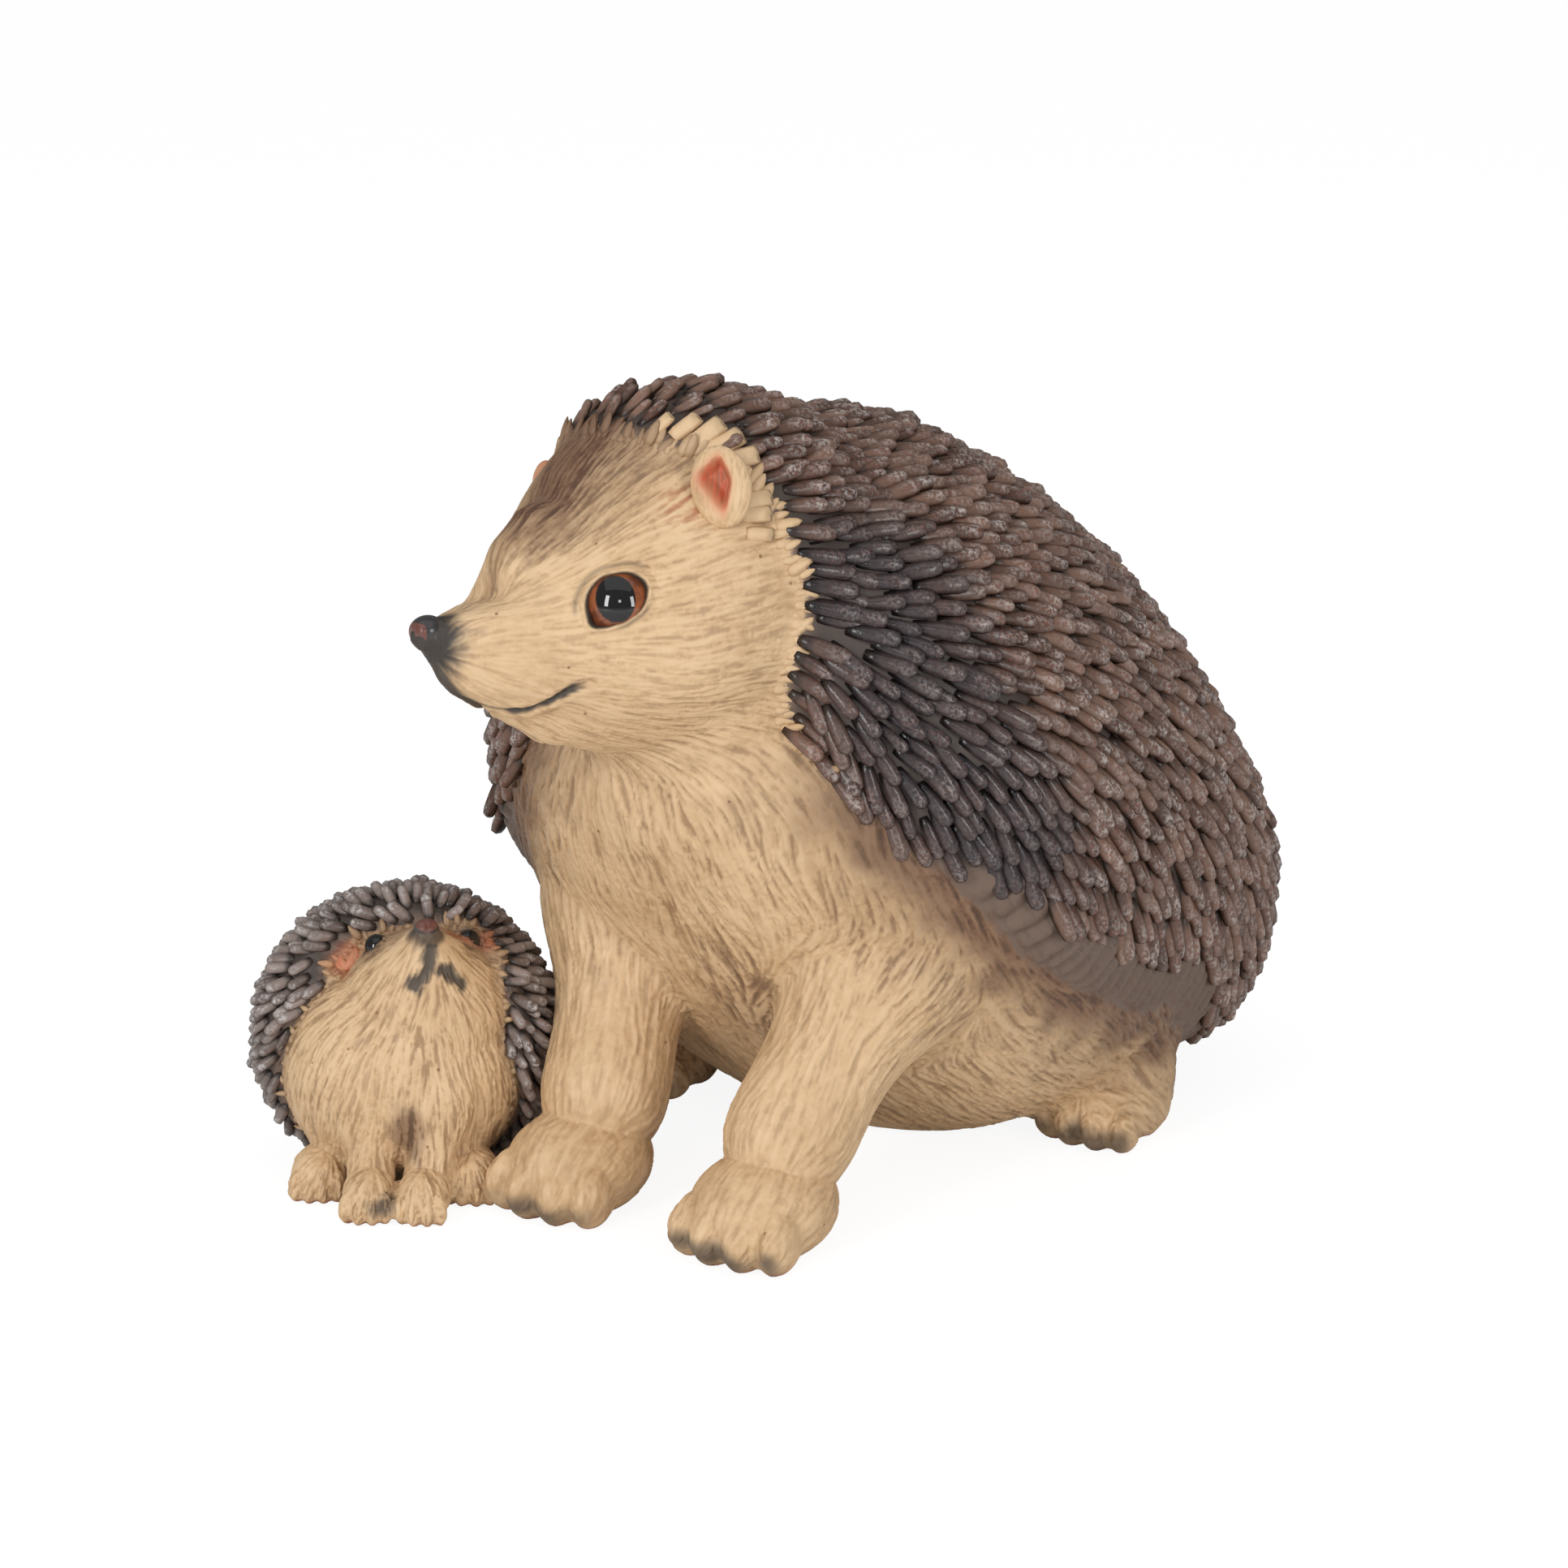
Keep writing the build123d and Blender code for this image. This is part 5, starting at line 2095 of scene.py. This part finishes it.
@dataclass
class Nose:
    """A button nose with two nostrils.

    Attributes:
        who: The first word of the node's name.
        head: The head's place.
        spot: Its middle in the head's axes.
        size: Its half width, half length and half height.
        nostrils: How deep its nostrils are.
    """

    who: str
    head: HeadPlace
    spot: Triple
    size: Triple
    nostrils: float

    def build(self, material: Material) -> None:
        """Makes the nose."""
        shape = bmesh.new()
        bmesh.ops.create_icosphere(shape, subdivisions=6, radius=1)
        name = f"{self.who}_nose_button"
        mesh = mesh_from(shape, name)
        ball = points_of(mesh)
        flat = ball.copy()
        ahead = -ball[:, 1]
        flat[:, 1] = -np.where(ahead > 0.72, 0.72 + (ahead - 0.72) * 0.45, ahead)
        wide = ramp(-0.9, 0.3, ball[:, 2])
        flat[:, 0] *= 0.86 + 0.14 * wide
        nostril = lengths((to_left(ball) - (0.47, -0.82, -0.3)) / (0.2, 0.4, 0.15))
        hole = self.nostrils * np.exp(-(nostril**2))
        flat[:, 1] += 0.3 * hole
        groove = bell(ball[:, 0], 0.09) * ramp(0.3, -0.4, ball[:, 2]) * ramp(0.0, 0.6, ahead)
        flat[:, 1] += 0.12 * groove
        angle = np.degrees(np.arccos(np.clip(ahead, -1, 1)))
        front = ramp(84.0, 52.0, angle + 26 * ramp(0.45, 0.85, ball[:, 2])) * (1 - 0.8 * hole)
        set_masks(mesh, "front", front, front, front)
        in_head(mesh, flat * np.array(self.size) + np.array(self.spot), self.head, Side.LEFT)
        settle(new_object(name, mesh), material, [f"{self.who}_nose"])


@dataclass
class Ears:
    """A pair of ears, each a soft rim round a red hollow.

    Attributes:
        who: The first word of the nodes' names.
        head: The head's place.
        spot: The middle of the left ear in the head's axes.
        look: The direction that its hollow faces.
        size: Its half width, half height and half thickness.
        hollow: The corners of the hollow as shares of the half sizes, the ear's front edge first.
        soft: How gently the hollow falls off along each of its edges.
        depth: The hollow's depth.
        blush: How red the ear is all over.
    """

    who: str
    head: HeadPlace
    spot: Triple
    look: Triple
    size: Triple
    hollow: tuple[tuple[float, float], ...]
    soft: tuple[float, ...]
    depth: float
    blush: float

    def build(self, material: Material) -> None:
        """Makes both ears.

        Args:
            material: The ears' paint.
        """
        axes = own_axes(self.look)
        for side in Side:
            shape = bmesh.new()
            bmesh.ops.create_icosphere(shape, subdivisions=6, radius=1)
            name = f"{self.who}_{side.word}_ear_shell"
            mesh = mesh_from(shape, name)
            ball = points_of(mesh)
            own = ball * np.array(self.size)
            dish, deep = self.dish(own)
            front = ramp(-0.2, 0.25, ball[:, 2])
            strokes = Lattice(Seed.EARS).streaks(own, np.tile((0.3, 0.95, 0.0), (len(own), 1)), 0.55, 2.0)
            own[:, 2] -= dish * front * (own[:, 2] + self.depth)
            own[:, 2] += 0.09 * np.tanh(strokes) * front
            far = 0.55 * (side is Side.RIGHT)
            red = np.clip(np.maximum(front * deep, max(self.blush, far)) * (0.85 + 0.1 * strokes), 0, 1)
            brown = 0.5 * ramp(0.0, -0.6, ball[:, 2])
            set_masks(mesh, "tint", brown, 0.25 * deep * dish * ramp(0.3, -1.2, strokes), red)
            groove = np.maximum(0.6 * ramp(0.1, -1.9, strokes), 0.7 * dish * (1 - deep))
            set_masks(mesh, "carve", groove, ramp(0.2, 1.8, strokes), 0.0)
            in_head(mesh, own @ axes.T + np.array(self.spot), self.head, side)
            settle(new_object(name, mesh), material, [f"{self.who}_{side.word}_ear"])

    def dish(self, own: Array) -> tuple[Array, Array]:
        """How far each point is inside the hollow, and inside its red paint, from 0 to 1."""
        corners = np.array(self.hollow) * np.array(self.size[:2])
        inside, paint = np.ones(len(own)), np.ones(len(own))
        for corner, following, soft in zip(corners, np.roll(corners, -1, axis=0), self.soft):
            line = unit(following - corner)
            gap = (own[:, 1] - corner[1]) * line[0] - (own[:, 0] - corner[0]) * line[1]
            inside *= ramp(-0.2 * soft, soft, gap)
            paint *= ramp(-0.7 * soft, 0.7 * soft, gap)
        return inside, paint


# Studio


@dataclass
class Studio:
    """The floor, the light and the camera.

    Attributes:
        aim: The point that the camera and the lamps face.
        distance: How far away the camera is.
        azimuth: How far the camera stands round to her left, in degrees.
        elevation: How high it looks from, in degrees.
        lens: Its focal length.
        sensor: Its sensor's width.
        room: Half the floor's width.
        room_light: How strongly the white room lights the figurine.
        room_glossy: How bright the room is in a mirroring surface.
    """

    aim: Triple = (13.868, -26.059, 97.0)
    distance: float = 1000.0
    azimuth: float = 33.0
    elevation: float = 16.0
    lens: float = 95.0
    sensor: float = 36.0
    room: float = 6000.0
    room_light: float = 0.49
    room_glossy: float = 0.22

    def hang(self, name: str, data: bpy.types.ID, azimuth: float, elevation: float, reach: float) -> Object:
        """Hangs the camera or a lamp in the room, facing the figurine.

        Args:
            name: Its name.
            data: What it is.
            azimuth: How far it hangs round to her left, in degrees.
            elevation: How high it hangs, in degrees.
            reach: How far away it is.

        Returns:
            The camera or the lamp.
        """
        turn, rise = math.radians(azimuth), math.radians(elevation)
        way = Vector((math.sin(turn) * math.cos(rise), -math.cos(turn) * math.cos(rise), math.sin(rise)))
        thing = new_object(name, data)
        thing.location = (Vector(self.aim) + way * reach) * MM
        thing.rotation_mode = "QUATERNION"
        thing.rotation_quaternion = (-way).to_track_quat("-Z", "Y")
        return thing

    def camera(self) -> None:
        """Sets up the camera at the photograph's viewing angle."""
        data = bpy.data.cameras.new("camera")
        data.lens = self.lens
        data.sensor_width = self.sensor
        data.clip_start = 0.05
        data.clip_end = 50.0
        place = (self.azimuth, self.elevation, self.distance)
        bpy.context.scene.camera = self.hang("camera", data, *place)

    def lamp(self, name: str, place: Triple, size: tuple[float, float], power: float) -> None:
        """Hangs one softbox.

        Args:
            name: Its name.
            place: Its azimuth and elevation in degrees, and how far away it is.
            size: Its width and height.
            power: Its power in watts.
        """
        data = bpy.data.lights.new(name, "AREA")
        data.shape = "RECTANGLE"
        data.size, data.size_y = size[0] * MM, size[1] * MM
        data.energy = power
        self.hang(name, data, *place)

    def floor(self) -> None:
        """Lays a pale floor that keeps the figurine's shadow."""
        shape = bmesh.new()
        bmesh.ops.create_grid(shape, x_segments=1, y_segments=1, size=self.room * MM)
        thing = new_object("floor", mesh_from(shape, "floor"))
        material = bpy.data.materials.new("pale_floor")
        material.use_nodes = True
        graph = Graph(material.node_tree)
        shader = material.node_tree.nodes["Principled BSDF"]
        shader.inputs["Base Color"].default_value = (0.86, 0.86, 0.86, 1)
        shader.inputs["Roughness"].default_value = 0.9
        shader.inputs["Specular IOR Level"].default_value = 0.0
        glow = graph.add("ShaderNodeEmission")
        glow.inputs["Strength"].default_value = 1.13
        rays = graph.add("ShaderNodeLightPath")
        seen = graph.math("MAXIMUM", rays.outputs["Is Camera Ray"], rays.outputs["Is Transmission Ray"])
        share = graph.times(seen, 0.8)
        blend = graph.add("ShaderNodeMixShader")
        graph.join(blend.inputs[0], share)
        graph.join(blend.inputs[1], shader.outputs[0])
        graph.join(blend.inputs[2], glow.outputs[0])
        graph.join(material.node_tree.nodes["Material Output"].inputs["Surface"], blend.outputs[0])
        thing.data.materials.append(material)

    def world(self) -> None:
        """A white room: bright where it is seen or mirrored, softer as light."""
        world = bpy.data.worlds.new("white_room")
        bpy.context.scene.world = world
        world.use_nodes = True
        graph = Graph(world.node_tree)
        ground = world.node_tree.nodes["Background"]
        rays = graph.add("ShaderNodeLightPath")
        seen = graph.math("MAXIMUM", rays.outputs["Is Camera Ray"], rays.outputs["Is Transmission Ray"])
        glossy = graph.times(rays.outputs["Is Glossy Ray"], self.room_glossy)
        seen = graph.math("MAXIMUM", seen, glossy)
        ground.inputs["Color"].default_value = (1, 1, 1, 1)
        diffuse = graph.times(rays.outputs["Is Diffuse Ray"], self.room_light)
        level = graph.math("MAXIMUM", seen, diffuse)
        graph.join(ground.inputs["Strength"], level)

    def build(self) -> None:
        """Sets up the whole studio."""
        scene = bpy.context.scene
        scene.view_settings.view_transform = "Standard"
        self.world()
        self.floor()
        self.camera()
        self.lamp("left_softbox", (self.azimuth - 36, 18, 1500), (260, 740), 7.4)
        self.lamp("right_softbox", (self.azimuth + 38, 16, 1500), (240, 700), 5.0)
        self.lamp("top_softbox", (self.azimuth - 5, 76, 1400), (1900, 1300), 3.8)
        self.lamp("camera_flash", (self.azimuth + 1, 20, 1250), (150, 150), 0.6)


def casting_nodes(who: str) -> list[str]:
    """The nodes of one animal that its skin covers: all but the ears, which stand out from it."""
    return [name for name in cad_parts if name.startswith(who) and not name.endswith("_ear")]


@dataclass(frozen=True)
class Paints:
    """The finishes that both animals share.

    Attributes:
        shop: Where the quills' paints are made.
        cream: The fur's paint.
        lacquer: The eyes' paint.
        snout: The noses' paint.
        pink: The ears' paint.
    """

    shop: PaintShop
    cream: Material
    lacquer: Material
    snout: Material
    pink: Material


def dress_mother(paints: Paints) -> None:
    """Builds all the mother's pieces.

    Args:
        paints: The materials.
    """
    head = HeadPlace.from_nodes("mother", eye=(31.0, 3.8), nose=(66.5, 2.5))
    grain = 2.0
    mother = MotherSkin("mother", "mother_spine_coat", casting_nodes("mother_"), grain, head)
    mother.build()
    blunt = Quill(
        length=8.0, width=4.4, thickness=2.6, stations=(0.0, 0.2, 0.6, 0.92, 1.0),
        girths=(0.8, 1.0, 1.0, 0.96, 0.86), sides=8, notch=1.3, root=0.3,
    )
    tufts = EarTufts(mother, blunt)
    tufts.build(paints.cream)
    quill = Quill(length=12.0, width=4.2, thickness=3.7, girths=(0.66, 0.84, 0.98, 1.0, 0.82, 0.4), root=0.7)
    coat = QuillCoat(
        mother, "quills", quill, along=6.7, across=2.95, lift=10.5, overhang=0.8, lowest=4.0,
        seed=Seed.QUILLS, around=tufts.lines,
    )
    coat.build(QuillPaint().make(paints.shop), ["mother_spine_coat"])
    pointed = Quill(
        length=5.0, width=2.7, thickness=1.3, stations=(0.0, 0.25, 0.55, 0.85, 1.0),
        girths=(0.7, 1.0, 0.92, 0.55, 0.12), root=0.25,
    )
    locks = EdgeLocks(
        mother, pointed, spacing=2.0, rows=(-3.0, -1.6), lift=4.0, lowest=114.0, seed=Seed.LOCKS)
    locks.build(paints.cream)
    eye = mother.eye
    eyes = Eyes("mother", head, eye.spot, eye.look, radius=9.0, front=5.8, pupil=(4.4, 5.3))
    eyes.build(paints.lacquer)
    nose = Nose("mother", head, spot=(0.0, -67.0, 2.4), size=(4.0, 4.4, 3.9), nostrils=1.0)
    nose.build(paints.snout)
    ears = Ears(
        "mother", head, spot=(35.7, -8.2, 26.0), look=(0.74, -0.66, 0.12), size=(6.8, 9.3, 3.6),
        hollow=((0.2, 0.78), (-0.85, 0.35), (-0.02, -0.76), (0.46, 0.1)), soft=(2.4, 3.6, 1.5, 1.5),
        depth=1.3, blush=0.0,
    )
    ears.build(paints.pink)
    mother.pieces(paints.cream)


def dress_young(paints: Paints) -> None:
    """Builds all the young one's pieces.

    Args:
        paints: The materials.
    """
    head = HeadPlace.from_nodes("baby", eye=(9.0, 8.0), nose=(22.0, 0.0))
    grain = 1.2
    young = YoungSkin(
        "baby", "baby_spine_coat", casting_nodes("baby_"), grain, head,
        coat_evening=16, fine_stroke=0.45, broad_stroke=0.8,
    )
    young.build()
    quill = Quill(length=6.6, width=2.9, thickness=2.6, root=0.4)
    coat = YoungCoat(
        young, "quills", quill, along=3.5, across=2.3, lift=20.0, overhang=-0.6, lowest=3.2,
        seed=Seed.YOUNG_QUILLS,
    )
    paint = QuillPaint(
        "young_quill_paint", dark=(92, 79, 73), light=(146, 131, 124), rust=(132, 102, 92),
        grey=(196, 194, 194), grey_strength=0.9, rust_strength=0.4,
    ).make(paints.shop)
    coat.build(paint, ["baby_spine_coat"])
    pointed = Quill(
        length=3.6, width=1.9, thickness=1.1, stations=(0.0, 0.25, 0.55, 0.85, 1.0),
        girths=(0.7, 1.0, 0.9, 0.5, 0.12), root=0.15,
    )
    locks = EdgeLocks(
        young, pointed, spacing=1.7, rows=(-1.8,), lift=9.0, lowest=12.0, seed=Seed.YOUNG_LOCKS)
    locks.build(paints.cream)
    low, high = box_of("baby_left_eye")
    radius = float(high[0] - low[0]) / 2 * 1.08
    eye = head.inside((low + high) / 2)
    eyes = Eyes("baby", head, tuple(eye), (0.8, -0.5, 0.35), radius, front=radius, pupil=(9.0, 9.0))
    eyes.build(paints.lacquer)
    nose = Nose("baby", head, spot=young.nose_spot, size=(3.1, 2.9, 2.5), nostrils=0.0)
    nose.build(paints.snout)
    ear = head.inside(middle_of("baby_left_ear"))
    ears = Ears(
        "baby", head, spot=tuple(ear), look=(0.5, -0.86, 0.1), size=(3.5, 3.7, 1.7),
        hollow=((0.5, 0.7), (-0.7, 0.55), (0.0, -0.8)), soft=(1.2, 1.2, 1.2), depth=0.7, blush=0.72,
    )
    ears.build(paints.pink)
    young.pieces(paints.cream)


def main() -> None:
    """Builds the figurine and the studio around it."""
    logging.basicConfig(level=logging.INFO, format="%(relativeCreated)d %(name)s: %(message)s", force=True)
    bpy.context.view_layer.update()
    shop = PaintShop()
    cream, lacquer, snout = (kind().make(shop) for kind in (CreamPaint, EyePaint, NosePaint))
    pink = CreamPaint("ear_paint", red=(204, 102, 72), wash_strength=0.5, specks=0.3).make(shop)
    paints = Paints(shop, cream, lacquer, snout, pink)
    dress_mother(paints)
    dress_young(paints)
    Studio().build()


if __name__ == "__main__":
    main()
